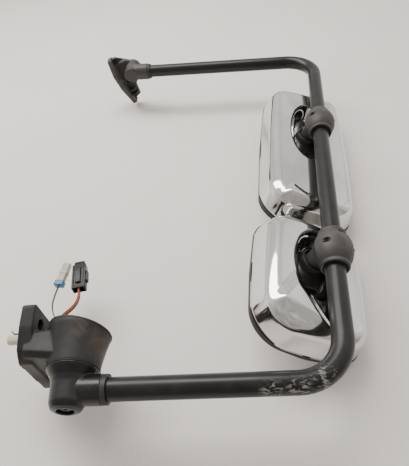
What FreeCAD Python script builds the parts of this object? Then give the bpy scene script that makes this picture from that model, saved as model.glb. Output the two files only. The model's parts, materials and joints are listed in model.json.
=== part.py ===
import FreeCAD, Part
import math
import os
import re

import Sketcher
from FreeCAD import Placement, Rotation, Vector

# Towing mirror: a two-armed tube loop that breaks away about a vertical pivot
# in a base casting, with two chromed mirror heads clamped to its long tube.
#
# Row frame, in millimetres: the origin is the centre of the base's four bolts
# on its mounting face, +X points outboard, +Y points to the rear, where the
# glass faces, and +Z points up along the breakaway pivot.

doc = FreeCAD.newDocument("towing_mirror")

# ---------------------------------------------------------------- dimensions
SIZES = {
    # base casting and its bolts
    "flange_thick": 24.0,
    "flange_top": 52.0,
    "flange_bottom": 44.0,
    "flange_front": 86.0,
    "flange_rear": 74.0,
    "flange_corner": 14.0,
    "bolt_pitch_y": 100.0,
    "bolt_pitch_z": 50.0,
    "bolt_hole_r": 4.5,
    "bolt_seat_r": 10.0,
    "bolt_seat_deep": 12.0,
    "pivot_x": 92.0,
    "pivot_y": -30.0,
    "seam_z": -54.5,
    "seam_r": 44.0,
    "trumpet_r": 56.0,
    "trumpet_top": 17.0,
    "trumpet_wall": 5.0,
    "rim_tilt": 10.0,
    "rim_rise": 12.0,
    "bridge_half": 42.0,
    "passage_y": -21.0,
    "passage_z": 10.0,
    "passage_wide": 34.0,
    "passage_tall": 28.0,
    "gasket_wide": 5.0,
    "gasket_thick": 3.0,
    "sleeve_r": 9.0,
    "sleeve_out": 41.0,
    # breakaway pivot
    "pivot_bolt_r": 8.0,
    "bolt_head_r": 10.0,
    "bolt_head_tall": 9.0,
    "knuckle_waist_r": 31.5,
    "knuckle_drop": 67.0,
    "knuckle_foot_r": 28.5,
    "knuckle_dome": 11.0,
    "recess_r": 14.0,
    "recess_deep": 30.0,
    "detent_outer_r": 36.0,
    "detent_inner_r": 22.0,
    "detent_thick": 5.0,
    "bush_wall": 3.0,
    "bush_long": 24.0,
    # tube loop
    "tube_r": 19.05,
    "tube_wall": 2.5,
    "bend_r": 84.0,
    "arm_z": -88.1,
    "arm_reach": 439.0,
    "arm_slope": 1.68,
    "lean": 8.4,
    "loop_tall": 1042.4,
    "top_slope": 5.9,
    "socket_r": 24.5,
    "socket_reach": 57.0,
    "socket_deep": 30.0,
    "seal_thick": 8.0,
    "seal_r": 24.0,
    "loom_r": 5.0,
    # upper knuckle and bracket
    "turret_r": 24.5,
    "turret_below": 26.0,
    "turret_above": 27.0,
    "upper_socket_reach": 56.0,
    "upper_pin_r": 7.0,
    "upper_pin_deep": 34.0,
    "bracket_swing": 19.0,
    "bracket_face": 63.0,
    "bracket_plate": 14.0,
    "bracket_front": 61.0,
    "bracket_rear": 109.0,
    "bracket_low": 42.0,
    "bracket_high": 34.0,
    "bracket_hole_r": 4.5,
    "web_thick": 16.0,
    "web_r": 28.0,
    # clamps, in each head's own frame
    "clamp_half_wide": 38.5,
    "clamp_half_deep": 38.0,
    "clamp_half_tall": 49.0,
    "clamp_cut_tall": 44.0,
    "liner_wall": 1.5,
    "stem_r": 20.0,
    "screw_r": 3.0,
    "screw_x": 29.0,
    # mirror heads, measured from the tube's axis
    "head_wide": 230.0,
    "head_offset": -17.0,
    "head_back": 25.0,
    "shell_rim": 88.0,
    "bezel_front": 100.0,
    "shell_wall": 2.5,
    "shell_taper": 14.0,
    "shell_corner": 46.0,
    "shell_low_corner": 72.0,
    "shell_round": 30.0,
    "edge_bow": 10.0,
    "side_bow": 5.0,
    "bezel_proud": 1.5,
    "bezel_width": 8.0,
    "upper_clamp_z": 690.0,
    "upper_head_up": 206.0,
    "upper_head_down": 300.0,
    "upper_head_turn": 17.0,
    "lower_clamp_z": 257.0,
    "lower_head_up": 110.0,
    "lower_head_down": 188.0,
    "lower_head_turn": 25.0,
    "dish_x": -20.0,
    "dish_half_wide": 54.0,
    "upper_dish_z": -5.0,
    "upper_dish_tall": 125.0,
    "lower_dish_z": -22.0,
    "lower_dish_tall": 88.0,
    "dish_floor": 52.0,
    "plate_y": 58.0,
    "plate_thick": 3.0,
    "actuator_half": 42.0,
    "actuator_deep": 15.0,
    "gimbal_y": 83.0,
    "gimbal_half": 13.0,
    "gimbal_pin_r": 2.5,
    "holder_y": 88.5,
    "holder_thick": 2.5,
    "heater_thick": 0.8,
    "glass_thick": 2.5,
    "glass_gap": 4.5,
    "convex_r": 1600.0,
    "convex_rise": 11.0,
    # wiring behind the base
    "harness_x": 33.5,
    "harness_y": -2.0,
    "harness_r": 7.5,
    "drain_r": 8.0,
    "grommet_tall": 8.0,
    "wire_r": 1.3,
    "thin_wire_r": 1.1,
    "wire_pitch": 3.0,
    # clearances
    "running": 0.05,
    "gap": 0.4,
}

sheet = doc.addObject("Spreadsheet::Sheet", "Sizes")
for line, (alias, size) in enumerate(SIZES.items(), start=1):
    sheet.set(f"A{line}", alias)
    sheet.set(f"B{line}", str(size))
    sheet.setAlias(f"B{line}", alias)
doc.recompute()

TINY = 1e-6


def bound(expression):
    """The expression with each size's alias written as a cell of the sheet."""
    return re.sub(r"[a-z][a-z0-9_]*", lambda word: "Sizes." + word[0]
                  if word[0] in SIZES else word[0], str(expression))


def value(expression):
    """The number that an expression of sizes comes to."""
    result = sheet.evalExpression(bound(expression))
    return float(getattr(result, "Value", result))


def at(x=0, y=0, z=0, axis=(0, 0, 1), degrees=0):
    """A placement from expressions of sizes."""
    return Placement(Vector(value(x), value(y), value(z)), Rotation(Vector(*axis), value(degrees)))


ROW = Placement()
PIVOT = at("pivot_x", "pivot_y", 0)

# ------------------------------------------------------------ sketch helpers


def new_body(name, place=ROW):
    body = doc.addObject("PartDesign::Body", name)
    body.Label = name
    body.Placement = place
    return body


def new_sketch(body, plane, offset="0"):
    """A sketch on one of the body's own origin planes, moved along its normal."""
    sketch = body.newObject("Sketcher::SketchObject", body.Name + "_sketch")
    base = [feature for feature in body.Origin.OriginFeatures if feature.Role == plane][0]
    sketch.AttachmentSupport = [(base, "")]
    sketch.MapMode = "FlatFace"
    sketch.setExpression("AttachmentOffset.Base.z", bound(offset))
    return sketch


def pin_point(sketch, geometry, point, x, y):
    """Hold one point of a sketch at two expressions of sizes."""
    for kind, expression in (("DistanceX", x), ("DistanceY", y)):
        index = sketch.addConstraint(Sketcher.Constraint(kind, -1, 1, geometry, point, value(expression)))
        sketch.setExpression(f"Constraints[{index}]", bound(expression))


def polygon(sketch, points):
    """A closed outline whose corners are expressions of sizes."""
    spots = [Vector(value(x), value(y), 0) for x, y in points]
    first = sketch.GeometryCount
    count = len(points)
    for index in range(count):
        sketch.addGeometry(Part.LineSegment(spots[index], spots[(index + 1) % count]), False)
    for index, (x, y) in enumerate(points):
        following = first + (index + 1) % count
        sketch.addConstraint(Sketcher.Constraint("Coincident", first + index, 2, following, 1))
        pin_point(sketch, first + index, 1, x, y)


def circle(sketch, x, y, radius):
    centre = Vector(value(x), value(y), 0)
    index = sketch.addGeometry(Part.Circle(centre, Vector(0, 0, 1), value(radius)), False)
    pin_point(sketch, index, 3, x, y)
    held = sketch.addConstraint(Sketcher.Constraint("Radius", index, value(radius)))
    sketch.setExpression(f"Constraints[{held}]", bound(radius))


def pad(body, sketch, length, taper="0", backwards=False, both=False):
    feature = body.newObject("PartDesign::Pad", body.Name + "_pad")
    feature.Profile = sketch
    feature.setExpression("Length", bound(length))
    feature.setExpression("TaperAngle", bound(taper))
    feature.Reversed = backwards
    feature.Midplane = both
    sketch.Visibility = False
    doc.recompute()
    return feature


def lathe(name, profile, place):
    """A body turned about its own Z axis from (radius, height) points."""
    body = new_body(name, place)
    sketch = new_sketch(body, "XZ_Plane")
    polygon(sketch, profile)
    feature = body.newObject("PartDesign::Revolution", name + "_turn")
    feature.Profile = sketch
    feature.ReferenceAxis = (sketch, ["V_Axis"])
    feature.Angle = 360
    doc.recompute()
    return body


def ring(name, inner, outer, low, high, place):
    return lathe(name, [(inner, low), (outer, low), (outer, high), (inner, high)], place)


def block(name, outline, low, high, place=ROW, plane="XY_Plane"):
    """A body padded from a polygon, between two heights over its plane."""
    body = new_body(name, place)
    sketch = new_sketch(body, plane, low)
    polygon(sketch, outline)
    pad(body, sketch, f"({high}) - ({low})")
    return body


def chamfered(x0, x1, y0, y1, corner="8"):
    """A rectangle with its four corners cut off."""
    return [(f"{x0} + {corner}", y0), (f"{x1} - {corner}", y0), (x1, f"{y0} + {corner}"),
            (x1, f"{y1} - {corner}"), (f"{x1} - {corner}", y1), (f"{x0} + {corner}", y1),
            (x0, f"{y1} - {corner}"), (x0, f"{y0} + {corner}")]


def edges_of(shape, wanted):
    """The names of the edges that a test picks."""
    return [f"Edge{index}" for index, edge in enumerate(shape.Edges, start=1) if wanted(edge)]


def runs_along(edge, axis):
    if len(edge.Vertexes) < 2:
        return False
    span = edge.Vertexes[-1].Point - edge.Vertexes[0].Point
    return span.Length > TINY and abs(span.normalize().dot(axis)) > 0.9


def fillet(body, wanted, radius):
    base = body.Tip
    feature = body.newObject("PartDesign::Fillet", body.Name + "_fillet")
    feature.Base = (base, edges_of(base.Shape, wanted))
    feature.setExpression("Radius", bound(radius))
    doc.recompute()
    return feature


# -------------------------------------------------------------- part helpers


def rod(name, radius, low, high, place, axis=(0, 0, 1)):
    """A cylinder between two distances along an axis through the place's origin."""
    turn = Rotation(Vector(0, 0, 1), Vector(*axis))
    cylinder = doc.addObject("Part::Cylinder", name)
    cylinder.setExpression("Radius", bound(radius))
    cylinder.setExpression("Height", bound(f"({high}) - ({low})"))
    start = Vector(*axis).normalize() * value(low)
    cylinder.Placement = place.multiply(Placement(start, turn))
    return cylinder


def cone(name, first_r, second_r, low, high, place, axis=(0, 0, 1)):
    turn = Rotation(Vector(0, 0, 1), Vector(*axis))
    solid = doc.addObject("Part::Cone", name)
    solid.setExpression("Radius1", bound(first_r))
    solid.setExpression("Radius2", bound(second_r))
    solid.setExpression("Height", bound(f"({high}) - ({low})"))
    start = Vector(*axis).normalize() * value(low)
    solid.Placement = place.multiply(Placement(start, turn))
    return solid


def box(name, x, y, z, place=ROW):
    """A box between pairs of expressions along each axis of the place."""
    solid = doc.addObject("Part::Box", name)
    for side, (low, high) in (("Length", x), ("Width", y), ("Height", z)):
        solid.setExpression(side, bound(f"({high}) - ({low})"))
    solid.Placement = place.multiply(at(x[0], y[0], z[0]))
    return solid


def fuse(name, pieces, refine=True):
    joined = doc.addObject("Part::MultiFuse", name)
    joined.Shapes = pieces
    joined.Refine = refine
    joined.Label = name
    doc.recompute()
    return joined


def cut(name, base, tools):
    """The base with the tools taken away; the volume must fall."""
    result = doc.addObject("Part::Cut", name)
    result.Base = base
    result.Tool = tools[0] if len(tools) == 1 else fuse(name + "_tools", tools, refine=False)
    result.Refine = True
    result.Label = name
    doc.recompute()
    if result.Shape.Volume > base.Shape.Volume - TINY:
        raise ValueError(f"{name}: the cut took nothing away")
    return result


def common(name, pieces):
    shared = doc.addObject("Part::MultiCommon", name)
    shared.Shapes = pieces
    shared.Label = name
    doc.recompute()
    return shared


def group(name, pieces):
    """Separate solids that share one node."""
    members = doc.addObject("Part::Compound", name)
    members.Links = pieces
    members.Label = name
    doc.recompute()
    return members


NODES = []


def node(piece):
    """Name a finished piece as one of the object's nodes."""
    NODES.append(piece)
    return piece


def bend_path(points, radii):
    """Straight runs joined by tangent arcs of the given radii, as one wire."""
    edges = []
    start = points[0]
    for before, corner, after, radius in zip(points, points[1:], points[2:], radii):
        into = (corner - before).normalize()
        out = (after - corner).normalize()
        turn = into.getAngle(out)
        reach = radius * math.tan(turn / 2)
        first = corner - into * reach
        last = corner + out * reach
        inward = (out - into).normalize()
        middle = corner + inward * (radius / math.cos(turn / 2) - radius)
        edges.append(Part.LineSegment(start, first).toShape())
        edges.append(Part.Arc(first, middle, last).toShape())
        start = last
    edges.append(Part.LineSegment(start, points[-1]).toShape())
    return Part.Wire(edges)


def pipe(name, path, radius, place=ROW):
    """A round solid along a wire."""
    first = path.Edges[0]
    start = first.valueAt(first.FirstParameter)
    profile = Part.Wire(Part.makeCircle(radius, start, first.tangentAt(first.FirstParameter)))
    solid = path.makePipeShell([profile], True, False)
    expected = math.pi * radius ** 2 * path.Length
    if abs(solid.Volume / expected - 1) > 0.01:
        raise ValueError(f"{name}: volume {solid.Volume:.0f}, not {expected:.0f}")
    feature = doc.addObject("Part::Feature", name)
    feature.Label = name
    feature.Shape = solid
    feature.Placement = place
    return feature


# -------------------------------------------------------------- base casting


def base_casting():
    """The flange, the bridge and the trumpet that holds the pivot, as one casting."""
    flange = block("flange", [
        ("-flange_front", "flange_top - 2"),
        ("-flange_front + 9", "9"),
        ("-flange_front + 24", "-flange_bottom + 16"),
        ("-flange_front + 43", "-flange_bottom"),
        ("flange_rear - 5", "-flange_bottom + 3"),
        ("flange_rear", "-flange_bottom + 16"),
        ("flange_rear - 12", "flange_top"),
    ], "0", "flange_thick", plane="YZ_Plane")
    fillet(flange, lambda edge: runs_along(edge, Vector(1, 0, 0)), "flange_corner / 2")
    outer_x = SIZES["flange_thick"]
    fillet(flange, lambda edge: all(abs(v.X - outer_x) < TINY for v in edge.Vertexes), "3")

    bridge = new_body("bridge")
    near = new_sketch(bridge, "YZ_Plane", "flange_thick / 2")
    polygon(near, chamfered("pivot_y - bridge_half + 6", "pivot_y + bridge_half", "-flange_bottom + 6", "9"))
    far = new_sketch(bridge, "YZ_Plane", "pivot_x")
    polygon(far, chamfered("pivot_y - bridge_half", "pivot_y + bridge_half", "seam_z + 4", "9"))
    loft = bridge.newObject("PartDesign::AdditiveLoft", "bridge_loft")
    loft.Profile = near
    loft.Sections = [far]
    doc.recompute()

    trumpet = lathe("trumpet", [
        ("0", "seam_z"),
        ("seam_r - 1", "seam_z"),
        ("seam_r", "seam_z + 1"),
        ("seam_r + 2", "seam_z + 18"),
        ("seam_r + 5", "seam_z + 36"),
        ("seam_r + 9", "seam_z + 54"),
        ("trumpet_r", "trumpet_top - 6"),
        ("trumpet_r", "trumpet_top + rim_rise"),
        ("0", "trumpet_top + rim_rise"),
    ], PIVOT)
    bowl = lathe("bowl", [
        ("0", "seam_z + 26"),
        ("seam_r - trumpet_wall - 3", "seam_z + 26"),
        ("seam_r + 9 - trumpet_wall", "seam_z + 54"),
        ("trumpet_r - trumpet_wall", "trumpet_top - 6"),
        ("trumpet_r - trumpet_wall", "trumpet_top + rim_rise + 1"),
        ("0", "trumpet_top + rim_rise + 1"),
    ], PIVOT)
    above_rim = box("above_rim", ("-trumpet_r - 2", "trumpet_r + 8"), ("-trumpet_r - 8", "trumpet_r + 8"),
                    ("0", "3 * rim_rise"), at("pivot_x", "pivot_y", "trumpet_top", (0, 1, 0), "rim_tilt"))
    hub = ring("hub", "pivot_bolt_r", "pivot_bolt_r + 9", "seam_z + 8", "seam_z + 42", PIVOT)
    bolt_bore = rod("bolt_bore", "pivot_bolt_r", "seam_z - 1", "seam_z + 43", PIVOT)
    detent_seat = ring("detent_seat", "0", "detent_outer_r + running", "seam_z - 1", "seam_z + detent_thick", PIVOT)
    passage = box("passage", ("-1", "pivot_x - 30"),
                  ("passage_y - passage_wide / 2", "passage_y + passage_wide / 2"),
                  ("passage_z - passage_tall / 2", "passage_z + passage_tall / 2"))
    gasket_seat = box("gasket_seat", ("-1", "gasket_thick"),
                      ("passage_y - passage_wide / 2 - gasket_wide", "passage_y + passage_wide / 2 + gasket_wide"),
                      ("passage_z - passage_tall / 2 - gasket_wide", "passage_z + passage_tall / 2 + gasket_wide"))
    harness_bore = rod("harness_bore", "harness_r", "-2", "10", at("harness_x", "harness_y"))
    tools = [bowl, detent_seat, passage, gasket_seat, harness_bore]
    for side_y in (-1, 1):
        for side_z in (-1, 1):
            spot = at(0, f"{side_y} * bolt_pitch_y / 2", f"{side_z} * bolt_pitch_z / 2")
            tag = f"{(side_y + 1) // 2}{(side_z + 1) // 2}"
            tools.append(rod("bolt_hole" + tag, "bolt_hole_r", "-1", "flange_thick + 1", spot, (1, 0, 0)))
            tools.append(rod("bolt_seat" + tag, "bolt_seat_r", "flange_thick - bolt_seat_deep",
                             "flange_thick + 34", spot, (1, 0, 0)))
    trumpet = cut("tilted_trumpet", trumpet, [above_rim])
    body = fuse("casting_blank", [flange, bridge, trumpet])
    hollow = cut("casting_hollow", body, tools)
    with_hub = fuse("casting_with_hub", [hollow, hub])
    return node(cut("base_casting", with_hub, [bolt_bore]))


def base_fittings():
    """What is fixed to the casting: seal, wiring pieces, pivot bolt and detent."""
    seat_y = ("passage_y - passage_wide / 2", "passage_y + passage_wide / 2")
    seat_z = ("passage_z - passage_tall / 2", "passage_z + passage_tall / 2")
    outer = box("gasket_outer", ("0", "gasket_thick"),
                (seat_y[0] + " - gasket_wide", seat_y[1] + " + gasket_wide"),
                (seat_z[0] + " - gasket_wide", seat_z[1] + " + gasket_wide"))
    inner = box("gasket_inner", ("-1", "gasket_thick + 1"), seat_y, seat_z)
    node(cut("base_gasket", outer, [inner]))

    plug = box("plug_blank", ("gasket_thick", "gasket_thick + 9"),
               (seat_y[0] + " + running", seat_y[1] + " - running"),
               (seat_z[0] + " + running", seat_z[1] + " - running"))
    sleeve_spot = at(0, "pivot_y + 4", "passage_z + 3")
    bore = rod("plug_bore", "sleeve_r", "0", "gasket_thick + 20", sleeve_spot, (1, 0, 0))
    node(cut("passage_plug", plug, [bore]))

    tube = rod("sleeve_tube", "sleeve_r - running", "-sleeve_out", "gasket_thick + 14", sleeve_spot, (1, 0, 0))
    hole = rod("sleeve_hole", "sleeve_r - 2.5", "-sleeve_out - 1", "gasket_thick + 15", sleeve_spot, (1, 0, 0))
    node(cut("wiring_sleeve", tube, [hole]))

    node(block("retaining_hook", [
        ("gasket_thick", "passage_z + 12.1"),
        ("-34", "passage_z + 12.1"),
        ("-40", "passage_z + 18"),
        ("-38.5", "passage_z + 19.5"),
        ("-33", "passage_z + 13.9"),
        ("gasket_thick", "passage_z + 13.9"),
    ], "-pivot_y - 9", "-pivot_y + 1", plane="XZ_Plane"))

    grommet = at("harness_x", "harness_y", 0)
    node(lathe("harness_grommet", [
        ("0", "9 - grommet_tall"),
        ("harness_r - running", "9 - grommet_tall"),
        ("harness_r - running", "9"),
        ("harness_r + 1.1", "9"),
        ("harness_r + 0.6", "9 + grommet_tall"),
        ("0", "9 + grommet_tall"),
    ], grommet))

    head_top = "seam_z - knuckle_drop + recess_deep - 17"
    node(lathe("pivot_bolt", [
        ("2.5", f"{head_top} - bolt_head_tall"),
        ("bolt_head_r - 1", f"{head_top} - bolt_head_tall"),
        ("bolt_head_r", f"{head_top} - bolt_head_tall + 1"),
        ("bolt_head_r", head_top),
        ("pivot_bolt_r - running", head_top),
        ("pivot_bolt_r - running", "seam_z + 40"),
        ("0", "seam_z + 40"),
        ("0", f"{head_top} - bolt_head_tall + 5"),
        ("2.5", f"{head_top} - bolt_head_tall + 5"),
    ], PIVOT))
    node(ring("thrust_washer", "pivot_bolt_r + running", "recess_r - gap", head_top, f"{head_top} + 2.5", PIVOT))
    node(ring("fixed_detent_ring", "detent_inner_r", "detent_outer_r", "seam_z + gap / 2",
              "seam_z + detent_thick - gap / 2", PIVOT))


def detent_spring(low, high):
    """A stack of four coned washers, as one ring with a zigzag rim."""
    rise = f"(({high}) - ({low})) / 4"
    rim = []
    for turn in range(4):
        rim.append(("recess_r - gap - 2.5", f"{low} + {turn} * {rise}"))
        rim.append(("recess_r - gap", f"{low} + {turn + 0.5} * {rise}"))
    inner = "pivot_bolt_r + gap"
    node(lathe("detent_spring", [(inner, low)] + rim + [("recess_r - gap - 2.5", high), (inner, high)], PIVOT))


def lower_knuckle():
    """The turning casting under the base, with the socket of the lower arm."""
    top = "seam_z - gap"
    foot = "seam_z - knuckle_drop"
    turret = lathe("turret", [
        ("0", foot),
        ("knuckle_foot_r - 12", foot),
        ("knuckle_foot_r - 4", f"{foot} + 3"),
        ("knuckle_foot_r", f"{foot} + knuckle_dome"),
        ("knuckle_waist_r", "arm_z + 8"),
        ("knuckle_waist_r + 3", "seam_z - 16"),
        ("seam_r - 2", "seam_z - 6"),
        ("seam_r", "seam_z - 3"),
        ("seam_r", top),
        ("0", top),
    ], PIVOT)
    arm = PIVOT.multiply(at(0, 0, "arm_z", (0, 1, 0), "arm_slope"))
    socket = rod("socket", "socket_r", "0", "socket_reach", arm, (1, 0, 0))
    blank = fuse("knuckle_blank", [turret, socket])
    tube_bore = rod("tube_bore", "tube_r + running", "socket_reach - socket_deep", "socket_reach + 1", arm, (1, 0, 0))
    loom_bore = rod("loom_bore", "loom_r + 2", "0", "socket_reach", arm, (1, 0, 0))
    recess = rod("recess", "recess_r", f"{foot} - 1", f"{foot} + recess_deep", PIVOT)
    bolt_way = rod("bolt_way", "pivot_bolt_r + bush_wall + running", f"{foot} - 1", "seam_z", PIVOT)
    detent_seat = rod("turning_seat", "detent_outer_r + running", "seam_z - gap - detent_thick", "seam_z", PIVOT)
    node(cut("lower_knuckle", blank, [tube_bore, loom_bore, recess, bolt_way, detent_seat]))

    node(ring("turning_detent_ring", "detent_inner_r", "detent_outer_r",
              "seam_z - gap - detent_thick", "seam_z - gap - 0.2", PIVOT))
    node(ring("swivel_bush", "pivot_bolt_r + running", "pivot_bolt_r + bush_wall",
              "seam_z - detent_thick - 1 - bush_long", "seam_z - detent_thick - 1", PIVOT))
    detent_spring("seam_z - knuckle_drop + recess_deep - 14", "seam_z - knuckle_drop + recess_deep")
    seal = rod("seal_blank", "seal_r", "socket_reach", "socket_reach + seal_thick", arm, (1, 0, 0))
    seal_bore = rod("seal_bore", "tube_r + running", "socket_reach - 1", "socket_reach + seal_thick + 1", arm,
                    (1, 0, 0))
    node(cut("socket_seal", seal, [seal_bore]))


# ----------------------------------------------------------------- tube loop

LEAN = SIZES["lean"]
SLOPE = SIZES["arm_slope"]
RISE = SIZES["top_slope"]
PIVOT_BASE = Vector(value("pivot_x"), value("pivot_y"), value("arm_z"))
ARM_LINE = Vector(math.cos(math.radians(SLOPE)), 0, -math.sin(math.radians(SLOPE)))
TUBE_LINE = Vector(math.sin(math.radians(LEAN)), 0, math.cos(math.radians(LEAN)))
TOP_LINE = Vector(-math.cos(math.radians(RISE)), 0, math.sin(math.radians(RISE)))
LOW_CORNER = PIVOT_BASE + ARM_LINE * (SIZES["arm_reach"] / ARM_LINE.x)
HIGH_CORNER = LOW_CORNER + TUBE_LINE * SIZES["loop_tall"]
TOP_REACH = (HIGH_CORNER.x - PIVOT_BASE.x) / -TOP_LINE.x
TOP_PIVOT = HIGH_CORNER + TOP_LINE * TOP_REACH
TURRET = Placement(TOP_PIVOT, Rotation())
LOOP = Placement(LOW_CORNER, Rotation(Vector(0, 1, 0), LEAN))


def loop_path(inset):
    """The centre line of the loop, starting and ending inside its sockets."""
    start = PIVOT_BASE + ARM_LINE * (SIZES["socket_reach"] - SIZES["socket_deep"] + inset)
    end = TOP_PIVOT - TOP_LINE * (SIZES["upper_socket_reach"] - SIZES["socket_deep"] + inset)
    return bend_path([start, LOW_CORNER, HIGH_CORNER, end], [SIZES["bend_r"]] * 2)


def tube_loop():
    outside = pipe("loop_outside", loop_path(0), SIZES["tube_r"])
    inside = pipe("loop_inside", loop_path(0), SIZES["tube_r"] - SIZES["tube_wall"])
    node(cut("loop_tube", outside, [inside]))
    node(pipe("arm_loom", loop_path(2), SIZES["loom_r"]))


def upper_knuckle():
    """The turret at the end of the upper arm, its bush and its collar."""
    arm = TURRET.multiply(Placement(Vector(), Rotation(Vector(0, 1, 0), RISE)))
    turret = lathe("upper_turret", [
        ("0", "-turret_below"),
        ("turret_r - 4", "-turret_below"),
        ("turret_r", "-turret_below + 4"),
        ("turret_r", "turret_above - 1"),
        ("turret_r - 1", "turret_above"),
        ("0", "turret_above"),
    ], TURRET)
    collar = rod("upper_collar", "socket_r + 0.5", "0", "upper_socket_reach", arm, (1, 0, 0))
    blank = fuse("upper_knuckle_blank", [turret, collar])
    tube_bore = rod("upper_tube_bore", "tube_r + running", "upper_socket_reach - socket_deep",
                    "upper_socket_reach + 1", arm, (1, 0, 0))
    pin_bore = rod("upper_pin_bore", "upper_pin_r + bush_wall", "turret_above - upper_pin_deep", "turret_above + 1",
                   TURRET)
    node(cut("upper_knuckle", blank, [tube_bore, pin_bore]))
    node(ring("upper_bush", "upper_pin_r + running", "upper_pin_r + bush_wall - running",
              "turret_above - upper_pin_deep", "turret_above - 1", TURRET))
    seal = rod("upper_seal_blank", "seal_r - 1", "upper_socket_reach", "upper_socket_reach + seal_thick", arm,
               (1, 0, 0))
    seal_bore = rod("upper_seal_bore", "tube_r + running", "upper_socket_reach - 1",
                    "upper_socket_reach + seal_thick + 1", arm, (1, 0, 0))
    node(cut("upper_socket_seal", seal, [seal_bore]))


def upper_bracket():
    """The two-bolt bracket above the turret, swung as it turns about the pin."""
    place = TURRET.multiply(Placement(Vector(), Rotation(Vector(0, 0, 1), -SIZES["bracket_swing"])))
    middle = "turret_above"
    plate = block("bracket_plate_blank", [
        ("-bracket_front", f"{middle} - 12"),
        ("-18", f"{middle} - bracket_low"),
        ("34", f"{middle} - bracket_low"),
        ("bracket_rear", f"{middle} - 14"),
        ("bracket_rear", f"{middle} + 16"),
        ("34", f"{middle} + bracket_high"),
        ("-18", f"{middle} + bracket_high"),
        ("-bracket_front", f"{middle} + 16"),
    ], "-bracket_face", "-bracket_face + bracket_plate", place, "YZ_Plane")
    fillet(plate, lambda edge: runs_along(edge, Vector(1, 0, 0)), "8")
    web = block("bracket_web", [
        ("-bracket_face + 4", "-bracket_front + 6"),
        ("-bracket_face + 22", "-bracket_front + 4"),
        ("0", "-web_r"),
        ("web_r", "0"),
        ("web_r - 12", "web_r - 4"),
        ("-20", "52"),
        ("-bracket_face + 36", "bracket_rear - 16"),
        ("-bracket_face + 4", "bracket_rear - 6"),
    ], f"{middle} + gap", f"{middle} + gap + web_thick", place)
    fillet(web, lambda edge: runs_along(edge, Vector(0, 0, 1)), "4")
    ribs = [box(f"bracket_rib{index}", ("-bracket_face + 6", "-bracket_face + 34"),
                (f"{spot} - 2.5", f"{spot} + 2.5"), (f"{middle} - 16", f"{middle} + 4"), place)
            for index, spot in enumerate(("62", "78"))]
    eye = ring("bracket_eye", "0", "web_r - 3", f"{middle} + gap", f"{middle} + gap + web_thick + 3", place)
    blank = fuse("bracket_blank", [plate, web, eye] + ribs)
    pin_bore = rod("bracket_pin_bore", "upper_pin_r", middle, f"{middle} + 40", place)
    window = place.multiply(at(-33, 28, 0))
    window_bore = rod("window_bore", "7", middle, f"{middle} + 40", window)
    window_seat = rod("window_seat", "13", middle, f"{middle} + gap + 8", window)
    tools = [pin_bore, window_bore, window_seat]
    for index, spot in enumerate(("-bracket_front + 16", "bracket_rear - 16")):
        hole_place = place.multiply(at(0, spot, f"{middle} + 1"))
        tools.append(rod(f"bracket_hole{index}", "bracket_hole_r", "-bracket_face - 1",
                         "-bracket_face + bracket_plate + 1", hole_place, (1, 0, 0)))
        tools.append(rod(f"bracket_spot{index}", "bracket_hole_r + 5", "-bracket_face + bracket_plate - 3",
                         "20", hole_place, (1, 0, 0)))
    node(cut("upper_bracket", blank, tools))
    node(lathe("upper_pivot_pin", [
        ("0", "turret_above - upper_pin_deep + 2"),
        ("upper_pin_r - 1", "turret_above - upper_pin_deep + 2"),
        ("upper_pin_r - running", "turret_above - upper_pin_deep + 3"),
        ("upper_pin_r - running", f"{middle} + gap + web_thick + 3"),
        ("upper_pin_r + 5", f"{middle} + gap + web_thick + 3"),
        ("upper_pin_r + 5", f"{middle} + gap + web_thick + 8"),
        ("upper_pin_r + 4", f"{middle} + gap + web_thick + 9"),
        ("0", f"{middle} + gap + web_thick + 9"),
    ], TURRET))


# -------------------------------------------------------------- mirror heads


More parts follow.
